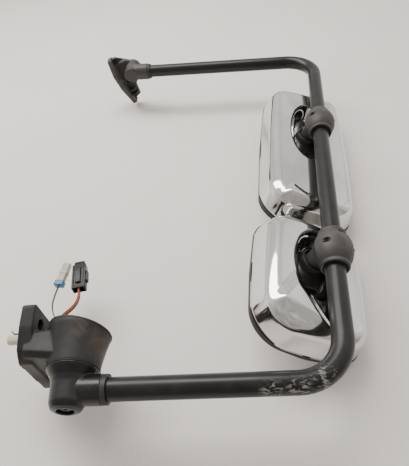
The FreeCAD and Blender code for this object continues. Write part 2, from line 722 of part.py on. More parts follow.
class Head:
    """One mirror head in its own frame: +Y to the glass, +Z along the tube."""

    def __init__(self, name, convex):
        clamp_z = name + "_clamp_z"
        turn = name + "_head_turn"
        up = name + "_head_up"
        down = name + "_head_down"
        self.name = name
        self.up = up
        self.down = down
        self.convex = convex
        self.place = LOOP.multiply(at(0, 0, clamp_z)).multiply(
            Placement(Vector(), Rotation(Vector(0, 0, 1), value(turn))))
        self.fixed = LOOP.multiply(at(0, 0, clamp_z))
        self.stem = self.place.multiply(at("dish_x", 0, 0))
        self.middle = f"({up} - {down}) / 2"

    def label(self, piece):
        return f"{self.name}_{piece}"

    def outline(self, inset):
        """The head's outline, bowed on all four sides, moved in by an inset."""
        half = f"head_wide / 2 - ({inset})"
        left = f"head_offset - ({half})"
        right = f"head_offset + {half}"
        top = f"{self.up} - ({inset})"
        bottom = f"-{self.down} + ({inset})"
        return [
            (f"{left} + side_bow", f"{bottom} + edge_bow"),
            ("head_offset", bottom),
            (f"{right} - side_bow", f"{bottom} + edge_bow"),
            (right, self.middle),
            (f"{right} - side_bow", f"{top} - edge_bow"),
            ("head_offset", top),
            (f"{left} + side_bow", f"{top} - edge_bow"),
            (left, self.middle),
        ]

    def slab(self, piece, inset, low, high, taper="0", rounder="0"):
        """A plate of the head's outline between two depths, thinning to the back."""
        body = new_body(self.label(piece), self.place)
        sketch = new_sketch(body, "XZ_Plane", f"-({high})")
        polygon(sketch, self.outline(inset))
        pad(body, sketch, f"({high}) - ({low})", taper)
        middle = value("head_offset")
        deep = Vector(0, 1, 0)

        def at_corner(edge):
            spot = edge.CenterOfMass
            far_up = abs(spot.z - value(self.middle)) > value(f"({self.up} + {self.down}) / 4")
            return runs_along(edge, deep) and far_up and abs(spot.x - middle) > value("head_wide / 4")

        def at_bow(edge):
            spot = edge.CenterOfMass
            return runs_along(edge, deep) and (abs(spot.x - middle) < 2 or abs(spot.z - value(self.middle)) < 2)

        def low_inboard(edge):
            return at_corner(edge) and edge.CenterOfMass.x < middle and edge.CenterOfMass.z < value(self.middle)

        fillet(body, lambda edge: at_corner(edge) and not low_inboard(edge), f"shell_corner + {rounder} - ({inset})")
        fillet(body, low_inboard, f"shell_low_corner + {rounder} - ({inset})")
        fillet(body, at_bow, "head_wide / 2")
        return body

    def shell(self):
        """The chromed cover: a hollow dome with a dish round the clamp's neck."""
        def dome(piece, inset):
            body = self.slab(piece, inset, f"head_back + ({inset})", "shell_rim", "-shell_taper")
            back = value(f"head_back + ({inset})")
            fillet(body, lambda edge: all(abs(v.Y - back) < 1e-3 for v in edge.Vertexes),
                   f"shell_round - ({inset})")
            return body

        outer = dome("shell_outer", "0")
        inner = dome("shell_inner", "shell_wall")
        bowl = self.dish("dish_outer", "shell_wall", "head_back", "dish_floor + shell_wall")
        void = self.dish("dish_void", "0", "head_back - 0.5", "dish_floor")
        neck_hole = rod(self.label("neck_hole"), "stem_r + 4", "head_back", "shell_rim", self.stem, (0, 1, 0))
        hollow = cut(self.label("shell_hollow"), outer, [inner])
        with_bowl = fuse(self.label("shell_with_dish"), [hollow, bowl])
        tools = [void, neck_hole]
        if not self.convex:
            tools.append(self.drain("drain_hole", "drain_r + running", "-20", "30"))
        node(cut(self.label("shell"), with_bowl, tools))

    def drain(self, piece, radius, low, high):
        spot = self.place.multiply(at("-40", "62", f"-{self.down} + 8"))
        return rod(self.label(piece), radius, low, high, spot)

    def dish(self, piece, grow, low, high):
        """A solid that narrows from a tall oval to a smaller one."""
        turn = Rotation(Vector(1, 0, 0), -90)
        ovals = []
        half_tall = self.name + "_dish_tall"
        for tag, depth, wide, tall in (("near", low, "dish_half_wide", half_tall),
                                       ("far", high, "stem_r + 9", half_tall + " - 28")):
            oval = doc.addObject("Part::Ellipse", self.label(piece + tag))
            oval.setExpression("MajorRadius", bound(f"{tall} + ({grow})"))
            oval.setExpression("MinorRadius", bound(f"{wide} + ({grow})"))
            upright = Rotation(Vector(0, 0, 1), 90)
            spot = at("dish_x", depth, self.name + "_dish_z").Base
            oval.Placement = self.place.multiply(Placement(spot, turn.multiply(upright)))
            ovals.append(oval)
        loft = doc.addObject("Part::Loft", self.label(piece))
        loft.Sections = ovals
        loft.Solid = True
        loft.Ruled = True
        doc.recompute()
        return loft

    def bezel(self):
        outer = self.slab("bezel_outer", "-bezel_proud", "shell_rim", "bezel_front")
        front = value("bezel_front")
        fillet(outer, lambda edge: all(abs(v.Y - front) < 1e-3 for v in edge.Vertexes), "3")
        inner = self.slab("bezel_inner", "bezel_width", "shell_rim - 1", "bezel_front + 1")
        node(cut(self.label("bezel"), outer, [inner]))

    def clamp(self):
        """Two cast halves that grip the tube, with the neck on the rear one."""
        ball = doc.addObject("Part::Ellipsoid", self.label("ball"))
        for side, size in (("Radius1", "clamp_half_tall"), ("Radius2", "clamp_half_wide"),
                           ("Radius3", "clamp_half_deep")):
            ball.setExpression(side, bound(size))
        ball.Placement = self.place
        reach = math.hypot(SIZES["dish_x"], SIZES["dish_floor"])
        neck = cone(self.label("neck"), "stem_r + 8", "stem_r - 2", "12", reach, self.place,
                    (SIZES["dish_x"], SIZES["dish_floor"], 0))
        flange = rod(self.label("neck_flange"), "stem_r", "dish_floor - 7", "plate_y", self.stem, (0, 1, 0))
        tall = ("-clamp_cut_tall", "clamp_cut_tall")
        wide = ("-60", "60")
        body = fuse(self.label("clamp_body"), [ball, neck, flange])
        bore = rod(self.label("clamp_bore"), "tube_r + liner_wall + running", "-60", "60", self.place)
        screw_ways = []
        for side in (-1, 1):
            spot = self.place.multiply(at(f"{side} * screw_x", 0, 0))
            tag = str((side + 1) // 2)
            screw_ways.append(rod(self.label("screw_way" + tag), "screw_r + running", "-60", "19", spot, (0, 1, 0)))
            screw_ways.append(rod(self.label("screw_seat" + tag), "screw_r + 2.6", "-60", "-14", spot, (0, 1, 0)))
        slot = box(self.label("slot"), ("-6", "12"), ("-clamp_half_deep", "-clamp_half_deep + 14"),
                   ("24", "31"), self.place)
        front_space = box(self.label("front_space"), wide, ("-60", "-gap / 2"), tall, self.place)
        rear_space = box(self.label("rear_space"), wide, ("gap / 2", "80"), tall, self.place)
        front = common(self.label("front_blank"), [body, front_space])
        rear = common(self.label("rear_blank"), [body, rear_space])
        node(cut(self.label("clamp_front"), front, [bore, slot] + screw_ways))
        node(cut(self.label("clamp_rear"), rear, [bore] + screw_ways))
        screws = []
        for side in (-1, 1):
            spot = self.place.multiply(at(f"{side} * screw_x", 0, 0))
            tag = str((side + 1) // 2)
            shank = rod(self.label("shank" + tag), "screw_r", "-16", "18", spot, (0, 1, 0))
            head = rod(self.label("screw_head" + tag), "screw_r + 2.4", "-20", "-14", spot, (0, 1, 0))
            screws.append(fuse(self.label("screw" + tag), [shank, head]))
        node(group(self.label("clamp_screws"), screws))
        liner = ring(self.label("clamp_liner"), "tube_r", "tube_r + liner_wall", "-clamp_cut_tall",
                     "clamp_cut_tall", self.fixed)
        node(liner)

    def post(self, piece, x, z, radius, low, high):
        return rod(self.label(piece), radius, low, high, self.place.multiply(at(x, 0, z)), (0, 1, 0))

    def inner_plate(self):
        """The plate in the shell that the neck, the shell and the drive bolt to."""
        taper = "(shell_rim - plate_y) * tan(shell_taper)"
        plate = self.slab("plate_blank", taper + " + shell_wall + 1", "plate_y", "plate_y + plate_thick",
                          rounder=taper)
        posts = []
        for index, (x, z) in enumerate(((-1, -1), (1, -1), (-1, 1), (1, 1))):
            high = f"{self.middle} + {z} * (({self.up} + {self.down}) / 2 - 62)"
            posts.append(self.post(f"plate_post{index}", f"head_offset + {x} * (head_wide / 2 - 56)", high, "5",
                                   "head_back + shell_wall", "plate_y + 1"))
        node(fuse(self.label("mount_plate"), [plate] + posts))

    def drive(self):
        """The two-axis glass drive, its universal joint and the glass pack."""
        centre = self.place.multiply(at("head_offset", 0, self.middle))
        half = "actuator_half"
        top = "plate_y + plate_thick + actuator_deep"
        housing = box(self.label("housing"), (f"-{half}", half), ("plate_y + plate_thick", top),
                      (f"-{half}", half), centre)
        ears = []
        bores = []
        for side in (-1, 1):
            tag = str((side + 1) // 2)
            span = (f"{side} * 18 - 2", f"{side} * 18 + 2")
            ears.append(box(self.label("pan_ear" + tag), ("-4.5", "4.5"), (f"{top} - 1", "gimbal_y + 4.5"), span, centre))
        bores.append(rod(self.label("pan_bore"), "gimbal_pin_r + running", "-25", "25",
                         centre.multiply(at(0, "gimbal_y", 0))))
        blank = fuse(self.label("drive_blank"), [housing] + ears)
        node(cut(self.label("glass_drive"), blank, bores))

        at_gimbal = centre.multiply(at(0, "gimbal_y", 0))
        core = box(self.label("gimbal_core"), ("-gimbal_half", "gimbal_half"), ("-3.5", "3.5"),
                   ("-gimbal_half", "gimbal_half"), at_gimbal)
        pins = [rod(self.label("pan_pin"), "gimbal_pin_r", "-20", "20", at_gimbal),
                rod(self.label("tilt_pin"), "gimbal_pin_r", "-20", "20", at_gimbal, (1, 0, 0))]
        node(fuse(self.label("gimbal"), [core] + pins))

        rim = "bezel_width + glass_gap"
        if self.convex:
            front = "holder_y + holder_thick + convex_rise + heater_thick"
            ear_top = f"{front} - heater_thick - 1"
            holder_slab = self.slab("holder_slab", rim + " + 2", "holder_y", "holder_y + 30")
            holder_blank = self.layer("holder_dome", holder_slab, front, "-holder_thick", "0")
        else:
            front = "holder_y + holder_thick + heater_thick"
            ear_top = "holder_y + 1"
            holder_blank = self.slab("holder_slab", rim + " + 2", "holder_y", "holder_y + holder_thick")
        ears = []
        slots = []
        for side in (-1, 1):
            tag = str((side + 1) // 2)
            span = (f"{side} * 18 - 2", f"{side} * 18 + 2")
            ears.append(box(self.label("tilt_ear" + tag), span, ("gimbal_y - 4.5", ear_top), ("-4.5", "4.5"), centre))
            slots.append(box(self.label("ear_slot" + tag), ("-7", "7"), ("holder_y - 1", f"{ear_top} + 2"),
                             (f"{side} * 18 - 5", f"{side} * 18 + 5"), centre))
        tilt_bore = rod(self.label("tilt_bore"), "gimbal_pin_r + running", "-25", "25", at_gimbal, (1, 0, 0))
        holder = fuse(self.label("holder_blank"), [holder_blank] + ears)
        node(cut(self.label("glass_holder"), holder, [tilt_bore] + slots))

        if self.convex:
            heater_blank = self.slab("heater_slab", rim + " + 4", "holder_y", "holder_y + 30")
            node(self.layer("heater_pad", heater_blank, front, "0", "heater_thick"))
            glass_blank = self.slab("glass_slab", rim, "holder_y", "holder_y + 30")
            node(self.layer("glass", glass_blank, front, "heater_thick", "heater_thick + glass_thick"))
        else:
            node(self.slab("heater_pad", rim + " + 4", "holder_y + holder_thick", front))
            node(self.slab("glass", rim, front, f"{front} + glass_thick"))

    def sphere(self, piece, crown, grow):
        """The ball whose front at the head's middle stands at a depth."""
        ball = doc.addObject("Part::Sphere", self.label(piece))
        ball.setExpression("Radius", bound(f"convex_r + ({grow})"))
        ball.Placement = self.place.multiply(at("head_offset", f"{crown} - heater_thick - convex_r", self.middle))
        return ball

    def layer(self, piece, blank, crown, low, high):
        """The part of a blank between two balls on one centre."""
        outer = self.sphere(piece + "_outer", crown, high)
        inner = self.sphere(piece + "_inner", crown, low)
        shared = common(self.label(piece + "_dome"), [blank, outer])
        return cut(self.label(piece), shared, [inner])

    def build(self):
        self.clamp()
        self.shell()
        self.bezel()
        self.inner_plate()
        self.drive()
        if not self.convex:
            tube = self.drain("drain_tube", "drain_r", "-6", "2")
            hole = self.drain("drain_way", "drain_r - 3", "-7", "3")
            node(cut(self.label("drain_grommet"), tube, [hole]))


# -------------------------------------------------------------------- wiring

# Each route leaves the grommet, then its points follow by hand, in millimetres.
THICK_ROUTE = [Vector(33, -2, 17), Vector(33, -2, 42), Vector(27, 8, 74), Vector(50, 10, 97),
               Vector(56, 10, 120), Vector(52.5, 10, 138), Vector(50.5, 10, 152)]
THIN_ROUTE = [Vector(30, -2, 17), Vector(30, -2, 38), Vector(27.5, 4, 62), Vector(11, 9, 82),
              Vector(2.5, 10, 106), Vector(3, 10, 130), Vector(6, 10, 152)]


def end_of(route):
    """The place at a route's end, its Z along the last run."""
    return Placement(route[-1], Rotation(Vector(0, 0, 1), route[-1] - route[-2]))


def cord(name, points, radius):
    """A wire along hand-chosen points, bent as gently as its runs allow."""
    radii = []
    for before, corner, after in zip(points, points[1:], points[2:]):
        into = corner - before
        out = after - corner
        turn = into.getAngle(out)
        radii.append(0.45 * min(into.Length, out.Length) / math.tan(turn / 2))
    path = bend_path(points, radii)
    print(f"{name}: length {path.Length:.1f}, bend radii", [round(radius_, 1) for radius_ in radii])
    node(pipe(name, path, radius))


def wiring():
    """The wires out of the grommet and the two connectors on their ends."""
    pitch = SIZES["wire_pitch"]
    for index, colour in enumerate(("red", "orange", "brown", "violet")):
        shift = Vector(0, (index - 1.5) * pitch, 0)
        cord(f"wire_{colour}", [point + shift for point in THICK_ROUTE], SIZES["wire_r"])
    for index, colour in enumerate(("black", "cream")):
        shift = Vector(0, (index - 0.5) * pitch, 0)
        cord(f"wire_{colour}", [point + shift for point in THIN_ROUTE], SIZES["thin_wire_r"])

    lean_back = end_of(THICK_ROUTE)
    body = box("black_body", ("-14", "14"), ("-9", "9"), ("-14", "48"), lean_back)
    nose = box("black_nose", ("-11", "11"), ("-7", "7"), ("48", "57"), lean_back)
    step = box("black_step", ("14", "18"), ("-6", "6"), ("4", "30"), lean_back)
    wire_mouth = box("black_wire_mouth", ("-11", "11"), ("-7", "7"), ("-15", "0"), lean_back)
    plug = fuse("black_plug", [body, nose, step])
    node(cut("black_connector", plug, [wire_mouth]))
    latch = box("latch_arm", ("-5", "5"), ("-13", "-11"), ("-2", "36"), lean_back)
    latch_foot = box("latch_foot", ("-5", "5"), ("-11", "-9"), ("26", "36"), lean_back)
    node(fuse("black_connector_latch", [latch, latch_foot]))

    lean_out = end_of(THIN_ROUTE)
    node(box("blue_lock", ("-9.5", "9.5"), ("-7.5", "7.5"), ("0", "12"), lean_out))
    shell = box("grey_body", ("-7.5", "7.5"), ("-6", "6"), ("12", "58"), lean_out)
    collar = box("grey_collar", ("-8.5", "8.5"), ("-7", "7"), ("30", "36"), lean_out)
    node(fuse("grey_connector", [shell, collar]))


# -------------------------------------------------------------------- making

base_casting()
base_fittings()
lower_knuckle()
tube_loop()
upper_knuckle()
upper_bracket()
Head("upper", convex=False).build()
Head("lower", convex=True).build()
wiring()

doc.recompute()
faults = [thing.Name for thing in doc.Objects if {"Invalid", "Error"} & set(thing.State)]
for piece in NODES:
    if piece.Shape.isNull() or not piece.Shape.isValid() or piece.Shape.Volume < TINY:
        faults.append(piece.Label)
if faults:
    raise ValueError("failed objects: " + ", ".join(faults))

os.makedirs("parts", exist_ok=True)
for piece in NODES:
    piece.Shape.exportStep(f"parts/{piece.Label}.step")
print(f"{len(NODES)} nodes written")
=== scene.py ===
"""Looks of a towing mirror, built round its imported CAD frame."""

import json
import logging
import math
from dataclasses import dataclass, field
from enum import Enum
from typing import Iterable, Sequence

import bmesh
import bpy
from mathutils import Matrix, Vector


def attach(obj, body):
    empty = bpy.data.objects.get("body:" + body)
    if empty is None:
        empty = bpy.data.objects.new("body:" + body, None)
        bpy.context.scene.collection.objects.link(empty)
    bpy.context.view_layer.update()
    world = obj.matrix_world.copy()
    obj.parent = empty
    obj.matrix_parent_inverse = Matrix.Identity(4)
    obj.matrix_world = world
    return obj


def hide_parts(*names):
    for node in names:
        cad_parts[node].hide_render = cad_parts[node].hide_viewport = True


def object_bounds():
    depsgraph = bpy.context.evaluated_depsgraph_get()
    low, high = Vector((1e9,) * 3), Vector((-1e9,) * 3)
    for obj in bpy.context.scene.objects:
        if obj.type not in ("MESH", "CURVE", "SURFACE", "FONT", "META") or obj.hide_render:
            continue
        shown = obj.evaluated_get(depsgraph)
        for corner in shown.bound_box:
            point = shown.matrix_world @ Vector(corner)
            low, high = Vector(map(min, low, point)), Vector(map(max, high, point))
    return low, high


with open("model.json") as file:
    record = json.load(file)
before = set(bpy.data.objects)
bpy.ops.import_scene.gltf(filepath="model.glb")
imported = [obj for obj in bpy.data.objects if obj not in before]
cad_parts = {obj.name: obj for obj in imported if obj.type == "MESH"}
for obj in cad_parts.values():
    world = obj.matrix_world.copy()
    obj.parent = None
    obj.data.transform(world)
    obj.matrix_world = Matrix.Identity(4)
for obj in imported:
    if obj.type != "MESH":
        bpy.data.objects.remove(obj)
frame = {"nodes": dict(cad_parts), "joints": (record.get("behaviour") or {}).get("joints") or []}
CAD_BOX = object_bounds()
LOG = logging.getLogger("towing_mirror")
MM = 0.001
WELD = 1e-5
FLAT_ANGLE = 0.02

Tone = tuple[float, float, float]
Point = tuple[float, float, float]
Socket = bpy.types.NodeSocket


class Group(Enum):
    """The CAD body that a piece rides on."""

    BASE = "base"
    ARM = "arm"
    BRACKET = "bracket"
    UPPER_HEAD = "upper_head"
    LOWER_HEAD = "lower_head"


# ------------------------------------------------------------------ finishes


class Graph:
    """The shader nodes of one material."""

    def __init__(self, name: str) -> None:
        """Start a material with its own shader.

        Args:
            name: The material's name.
        """
        self.material = bpy.data.materials.new(name)
        self.material.use_nodes = True
        self.tree = self.material.node_tree
        self.shader = self.tree.nodes["Principled BSDF"]
        self.place = self.add("ShaderNodeTexCoord").outputs["Object"]

    def add(self, kind: str, **settings: object) -> bpy.types.Node:
        """Add a node.

        Args:
            kind: The node's type name.
            **settings: Properties to set on it.

        Returns:
            The new node.
        """
        node = self.tree.nodes.new(kind)
        for key, setting in settings.items():
            setattr(node, key, setting)
        return node

    def join(self, source: Socket, target: Socket) -> None:
        """Link an output to an input."""
        self.tree.links.new(source, target)

    def noise(self, scale: float, detail: float = 3.0, warp: float = 0.0,
              stretch: Point = (1.0, 1.0, 1.0)) -> Socket:
        """Add noise over the object's own space.

        Args:
            scale: Features per metre.
            detail: Octaves of finer noise.
            warp: How far the pattern twists.
            stretch: How each axis is scaled first.

        Returns:
            The noise value.
        """
        mapping = self.add("ShaderNodeMapping")
        mapping.inputs["Scale"].default_value = stretch
        self.join(self.place, mapping.inputs["Vector"])
        node = self.add("ShaderNodeTexNoise")
        node.inputs["Scale"].default_value = scale
        node.inputs["Detail"].default_value = detail
        node.inputs["Distortion"].default_value = warp
        self.join(mapping.outputs["Vector"], node.inputs["Vector"])
        return node.outputs["Fac"]

    def span(self, value: Socket, low: float, high: float, start: float = 0.0, end: float = 1.0) -> Socket:
        """Map a range of a value onto another, held at its ends.

        Args:
            value: The value to map.
            low: Where the range starts.
            high: Where the range ends.
            start: What the low end becomes.
            end: What the high end becomes.

        Returns:
            The mapped value.
        """
        node = self.add("ShaderNodeMapRange", interpolation_type="SMOOTHSTEP")
        node.inputs["From Min"].default_value = low
        node.inputs["From Max"].default_value = high
        node.inputs["To Min"].default_value = start
        node.inputs["To Max"].default_value = end
        self.join(value, node.inputs["Value"])
        return node.outputs["Result"]

    def times(self, first: Socket, second: Socket | float) -> Socket:
        """Multiply two values.

        Args:
            first: The first value.
            second: The second value, or a plain number.

        Returns:
            Their product.
        """
        node = self.add("ShaderNodeMath", operation="MULTIPLY")
        self.join(first, node.inputs[0])
        if isinstance(second, (int, float)):
            node.inputs[1].default_value = second
        else:
            self.join(second, node.inputs[1])
        return node.outputs["Value"]

    def blend(self, factor: Socket, first: Socket | Tone, second: Socket | Tone) -> Socket:
        """Mix two colours.

        Args:
            factor: How much of the second shows.
            first: The colour at zero.
            second: The colour at one.

        Returns:
            The mixed colour.
        """
        node = self.add("ShaderNodeMix", data_type="RGBA")
        self.join(factor, node.inputs["Factor"])
        for socket, tone in ((node.inputs[6], first), (node.inputs[7], second)):
            if isinstance(tone, tuple):
                socket.default_value = (*tone, 1.0)
            else:
                self.join(tone, socket)
        return node.outputs[2]

    def near(self, centre: Point, inner: float, outer: float) -> Socket:
        """Mask the surface near a point, fading to nothing.

        Args:
            centre: The point, in metres.
            inner: The radius that is wholly covered.
            outer: The radius where it ends.

        Returns:
            The mask.
        """
        node = self.add("ShaderNodeVectorMath", operation="DISTANCE")
        node.inputs[1].default_value = centre
        self.join(self.place, node.inputs[0])
        return self.span(node.outputs["Value"], inner, outer, 1.0, 0.0)

    def facing(self, direction: Point, low: float, high: float) -> Socket:
        """Mask the surfaces that face a direction.

        Args:
            direction: The direction, in the row's frame.
            low: The cosine where the mask starts.
            high: The cosine where it is whole.

        Returns:
            The mask.
        """
        normal = self.add("ShaderNodeNewGeometry").outputs["Normal"]
        node = self.add("ShaderNodeVectorMath", operation="DOT_PRODUCT")
        node.inputs[1].default_value = Vector(direction).normalized()
        self.join(normal, node.inputs[0])
        return self.span(node.outputs["Value"], low, high)

    def bump(self, height: Socket, depth: float, under: Socket | None = None) -> Socket:
        """Raise the surface by a value.

        Args:
            height: The value.
            depth: How far one unit of it stands, in metres.
            under: A bumped normal to add to.

        Returns:
            The new normal.
        """
        node = self.add("ShaderNodeBump")
        node.inputs["Distance"].default_value = depth
        node.inputs["Strength"].default_value = 1.0
        self.join(height, node.inputs["Height"])
        if under is not None:
            self.join(under, node.inputs["Normal"])
        return node.outputs["Normal"]


PATCH_SPAN = (0.35, 0.68)
ROUGH_SPAN = (0.3, 0.7)
SMOOTHEST = 0.02
COAT_ROUGH = 0.12
DUST_SCALE = 38.0
DUST_SPAN = (0.36, 0.66)
DUST_FACING = (0.1, 0.95)
FLECK_SCALE = 420.0
FLECK_SPAN = (0.66, 0.78)
FLECK_SHARE = 0.35
FLECK_GREY: Tone = (0.25, 0.23, 0.21)


@dataclass(frozen=True)
class Spot:
    """A dusty spot, or a painted reflection, on a surface."""

    centre: Point
    inner: float
    outer: float
    tone: Tone
    grain: float = 60.0
    low: float = 0.48
    high: float = 0.62
    rough: float = 0.7
    stretch: Point = (1.0, 1.0, 1.0)


@dataclass(frozen=True)
class Finish:
    """A finish with patches of two tones, grain, dust, and spots of dust or of painted reflection."""

    name: str
    slot: str
    tone: Tone
    second: Tone
    rough: float = 0.5
    rough_spread: float = 0.08
    metallic: float = 0.0
    coat: float = 0.0
    specular: float = 0.5
    patch: float = 14.0
    grain: float = 900.0
    grain_depth: float = 0.00005
    wave: float = 0.0
    wave_scale: float = 12.0
    dust: float = 0.0
    dust_tone: Tone = (0.30, 0.25, 0.19)
    dust_side: Point = (0.3, -0.8, 0.5)
    spots: tuple[Spot, ...] = ()

    def make(self) -> bpy.types.Material:
        """Build the material.

        Returns:
            The material.
        """
        graph = Graph(self.name)
        shader = graph.shader
        patches = graph.noise(self.patch, 4.0)
        colour = graph.blend(graph.span(patches, *PATCH_SPAN), self.tone, self.second)
        fine = graph.noise(self.grain, 2.0)
        low = max(self.rough - self.rough_spread, SMOOTHEST)
        rough = graph.span(patches, *ROUGH_SPAN, low, self.rough + self.rough_spread)
        if self.dust > 0:
            clouds = graph.span(graph.noise(DUST_SCALE, 6.0, 0.4), *DUST_SPAN)
            film = graph.times(graph.facing(self.dust_side, *DUST_FACING), clouds)
            film = graph.times(film, self.dust)
            colour = graph.blend(film, colour, self.dust_tone)
        # Each spot blends its tone in: dust on the base, painted reflections on the tube's lower bend.
        for spot in self.spots:
            mask = graph.near(spot.centre, spot.inner, spot.outer)
            spot_noise_mask = graph.span(graph.noise(spot.grain, 7.0, 0.8, spot.stretch), spot.low, spot.high)
            mask = graph.times(mask, spot_noise_mask)
            colour = graph.blend(mask, colour, spot.tone)
        graph.join(colour, shader.inputs["Base Color"])
        graph.join(rough, shader.inputs["Roughness"])
        shader.inputs["Metallic"].default_value = self.metallic
        shader.inputs["Coat Weight"].default_value = self.coat
        shader.inputs["Coat Roughness"].default_value = COAT_ROUGH
        shader.inputs["Specular IOR Level"].default_value = self.specular
        normal = graph.bump(fine, self.grain_depth)
        if self.wave > 0:
            normal = graph.bump(graph.noise(self.wave_scale, 1.0), self.wave, normal)
        graph.join(normal, shader.inputs["Normal"])
        return graph.material


@dataclass(frozen=True)
class Chrome(Finish):
    """Plated plastic: bright, barely rippled, with a faint bloom of grime."""

    def make(self) -> bpy.types.Material:
        """Build the material.

        Returns:
            The material.
        """
        graph = Graph(self.name)
        shader = graph.shader
        bloom = graph.noise(self.patch, 6.0, 0.3)
        fleck = graph.span(graph.noise(FLECK_SCALE, 3.0), *FLECK_SPAN)
        colour = graph.blend(graph.span(bloom, 0.4, 0.75), self.tone, self.second)
        colour = graph.blend(graph.times(fleck, FLECK_SHARE), colour, FLECK_GREY)
        rough = graph.span(bloom, 0.35, 0.75, self.rough, self.rough + self.rough_spread)
        graph.join(colour, shader.inputs["Base Color"])
        graph.join(rough, shader.inputs["Roughness"])
        shader.inputs["Metallic"].default_value = 1.0
        graph.join(graph.bump(graph.noise(self.wave_scale, 1.0), self.wave), shader.inputs["Normal"])
        return graph.material


# The grey patches on the tube's lower bend are painted reflections, not scuffs; the spots below blend this
# grey into the tube's colour.
PAINTED_REFLECTION_GREY: Tone = (0.26, 0.25, 0.235)
DUST_BROWN: Tone = (0.070, 0.057, 0.043)
PAINTED_REFLECTION_SPREAD: Point = (0.5, 1.4, 1.4)
LOW_BEND_PAINTED_REFLECTIONS = tuple(
    Spot(centre, 0.008, outer, PAINTED_REFLECTION_GREY, grain, low, high, 0.7, PAINTED_REFLECTION_SPREAD)
    for centre, outer, grain, low, high in (
        ((0.415, -0.044, -0.119), 0.027, 170.0, 0.47, 0.62),
        ((0.455, -0.045, -0.117), 0.027, 190.0, 0.48, 0.63),
        ((0.497, -0.046, -0.104), 0.030, 180.0, 0.50, 0.64),
    ))
BASE_DUST = (
    Spot((0.142, -0.046, -0.018), 0.004, 0.046, DUST_BROWN, 30.0, 0.30, 0.74),
    Spot((0.118, -0.078, 0.000), 0.002, 0.040, DUST_BROWN, 34.0, 0.38, 0.78),
    Spot((0.014, -0.020, -0.043), 0.010, 0.050, DUST_BROWN, 30.0, 0.34, 0.72),
)

TUBE_BLACK = Finish(
    "tube_black_coat", "tube_black", (0.008, 0.008, 0.008), (0.014, 0.013, 0.012), 0.31, 0.06, coat=0.04,
    specular=0.32, patch=6.0, grain=700.0, grain_depth=0.00002, dust=0.3, dust_tone=(0.034, 0.031, 0.029),
    dust_side=(-0.2, -1.0, 0.25), spots=LOW_BEND_PAINTED_REFLECTIONS)
CAST_GLOSS = Finish(
    "cast_gloss_black", "cast_black", (0.007, 0.007, 0.008), (0.014, 0.013, 0.012), 0.27, coat=0.06,
    specular=0.36, patch=22.0, grain=260.0, grain_depth=0.00008)
CAST_MATT = Finish(
    "cast_matt_grey", "cast_black", (0.034, 0.030, 0.028), (0.050, 0.045, 0.042), 0.55, patch=20.0,
    grain=520.0, grain_depth=0.00012, dust=0.3, dust_tone=(0.15, 0.13, 0.115))
BASE_PLASTIC = Finish(
    "base_textured_plastic", "base_plastic", (0.012, 0.012, 0.012), (0.019, 0.018, 0.018), 0.52, 0.1,
    specular=0.36, patch=18.0, grain=620.0, grain_depth=0.00014, dust=0.25, dust_tone=(0.040, 0.036, 0.032),
    spots=BASE_DUST)
CHROME_SHELL = Chrome(
    "shell_chrome", "chrome_shell", (0.74, 0.73, 0.715), (0.66, 0.65, 0.63), 0.05, 0.06, patch=9.0,
    wave=0.0012, wave_scale=7.0)
RUBBER = Finish(
    "seal_rubber", "rubber_black", (0.014, 0.014, 0.014), (0.026, 0.024, 0.022), 0.6, 0.1, patch=30.0)
BEZEL_BLACK = Finish(
    "bezel_grained_black", "bezel_black", (0.012, 0.012, 0.012), (0.020, 0.019, 0.018), 0.45, specular=0.36,
    patch=16.0, grain=800.0, grain_depth=0.0001, dust=0.15, dust_tone=(0.10, 0.09, 0.08))
PLUG_BLACK = Finish(
    "plug_gloss_black", "connector_black", (0.006, 0.006, 0.006), (0.011, 0.011, 0.011), 0.30, 0.07,
    specular=0.28, patch=60.0, grain=500.0, grain_depth=0.000004)
PLUG_GREY = Finish(
    "plug_pale_nylon", "connector_grey", (0.50, 0.45, 0.35), (0.60, 0.55, 0.44), 0.42, patch=70.0,
    grain=800.0, grain_depth=0.00003)
LOCK_BLUE = Finish(
    "lock_blue_nylon", "lock_blue", (0.035, 0.16, 0.30), (0.055, 0.22, 0.38), 0.36, patch=80.0)
SLEEVE_CREAM = Finish(
    "sleeve_cream_nylon", "sleeve_cream", (0.62, 0.56, 0.43), (0.72, 0.66, 0.53), 0.5, patch=50.0, dust=0.4,
    dust_tone=(0.30, 0.24, 0.16))
STEEL = Finish(
    "zinc_steel", "steel", (0.30, 0.29, 0.28), (0.42, 0.41, 0.39), 0.38, 0.1, 1.0, patch=80.0, grain=400.0)
DARK_STEEL = Finish(
    "black_bolt_steel", "steel", (0.030, 0.030, 0.030), (0.060, 0.057, 0.053), 0.36, 0.1, 0.7, patch=90.0,
    grain=500.0, grain_depth=0.00006)
NYLON_BROWN = Finish(
    "bush_filled_nylon", "bush_brown", (0.20, 0.155, 0.10), (0.27, 0.21, 0.14), 0.5, patch=60.0)
NYLON_BLACK = Finish(
    "liner_nylon", "liner_black", (0.020, 0.020, 0.020), (0.032, 0.030, 0.028), 0.5, patch=60.0)
PLATE_GREY = Finish(
    "plate_moulded_grey", "plate_grey", (0.10, 0.10, 0.10), (0.14, 0.14, 0.14), 0.55, patch=20.0)
DRIVE_BLACK = Finish(
    "drive_moulded_black", "drive_black", (0.025, 0.025, 0.027), (0.04, 0.04, 0.042), 0.5)
HOLDER_BLACK = Finish(
    "holder_moulded_black", "holder_black", (0.03, 0.03, 0.03), (0.045, 0.044, 0.043), 0.5)
HEATER = Finish(
    "heater_film", "heater", (0.35, 0.19, 0.06), (0.45, 0.27, 0.10), 0.35, patch=40.0)
GASKET = Finish(
    "gasket_foam", "gasket_grey", (0.025, 0.025, 0.025), (0.05, 0.048, 0.045), 0.85, patch=90.0, grain=1200.0,
    grain_depth=0.0002)
MIRROR_GLASS = Chrome(
    "silvered_glass", "mirror_glass", (0.86, 0.88, 0.885), (0.80, 0.81, 0.81), 0.02, 0.05, patch=6.0,
    wave=0.00002, wave_scale=5.0)


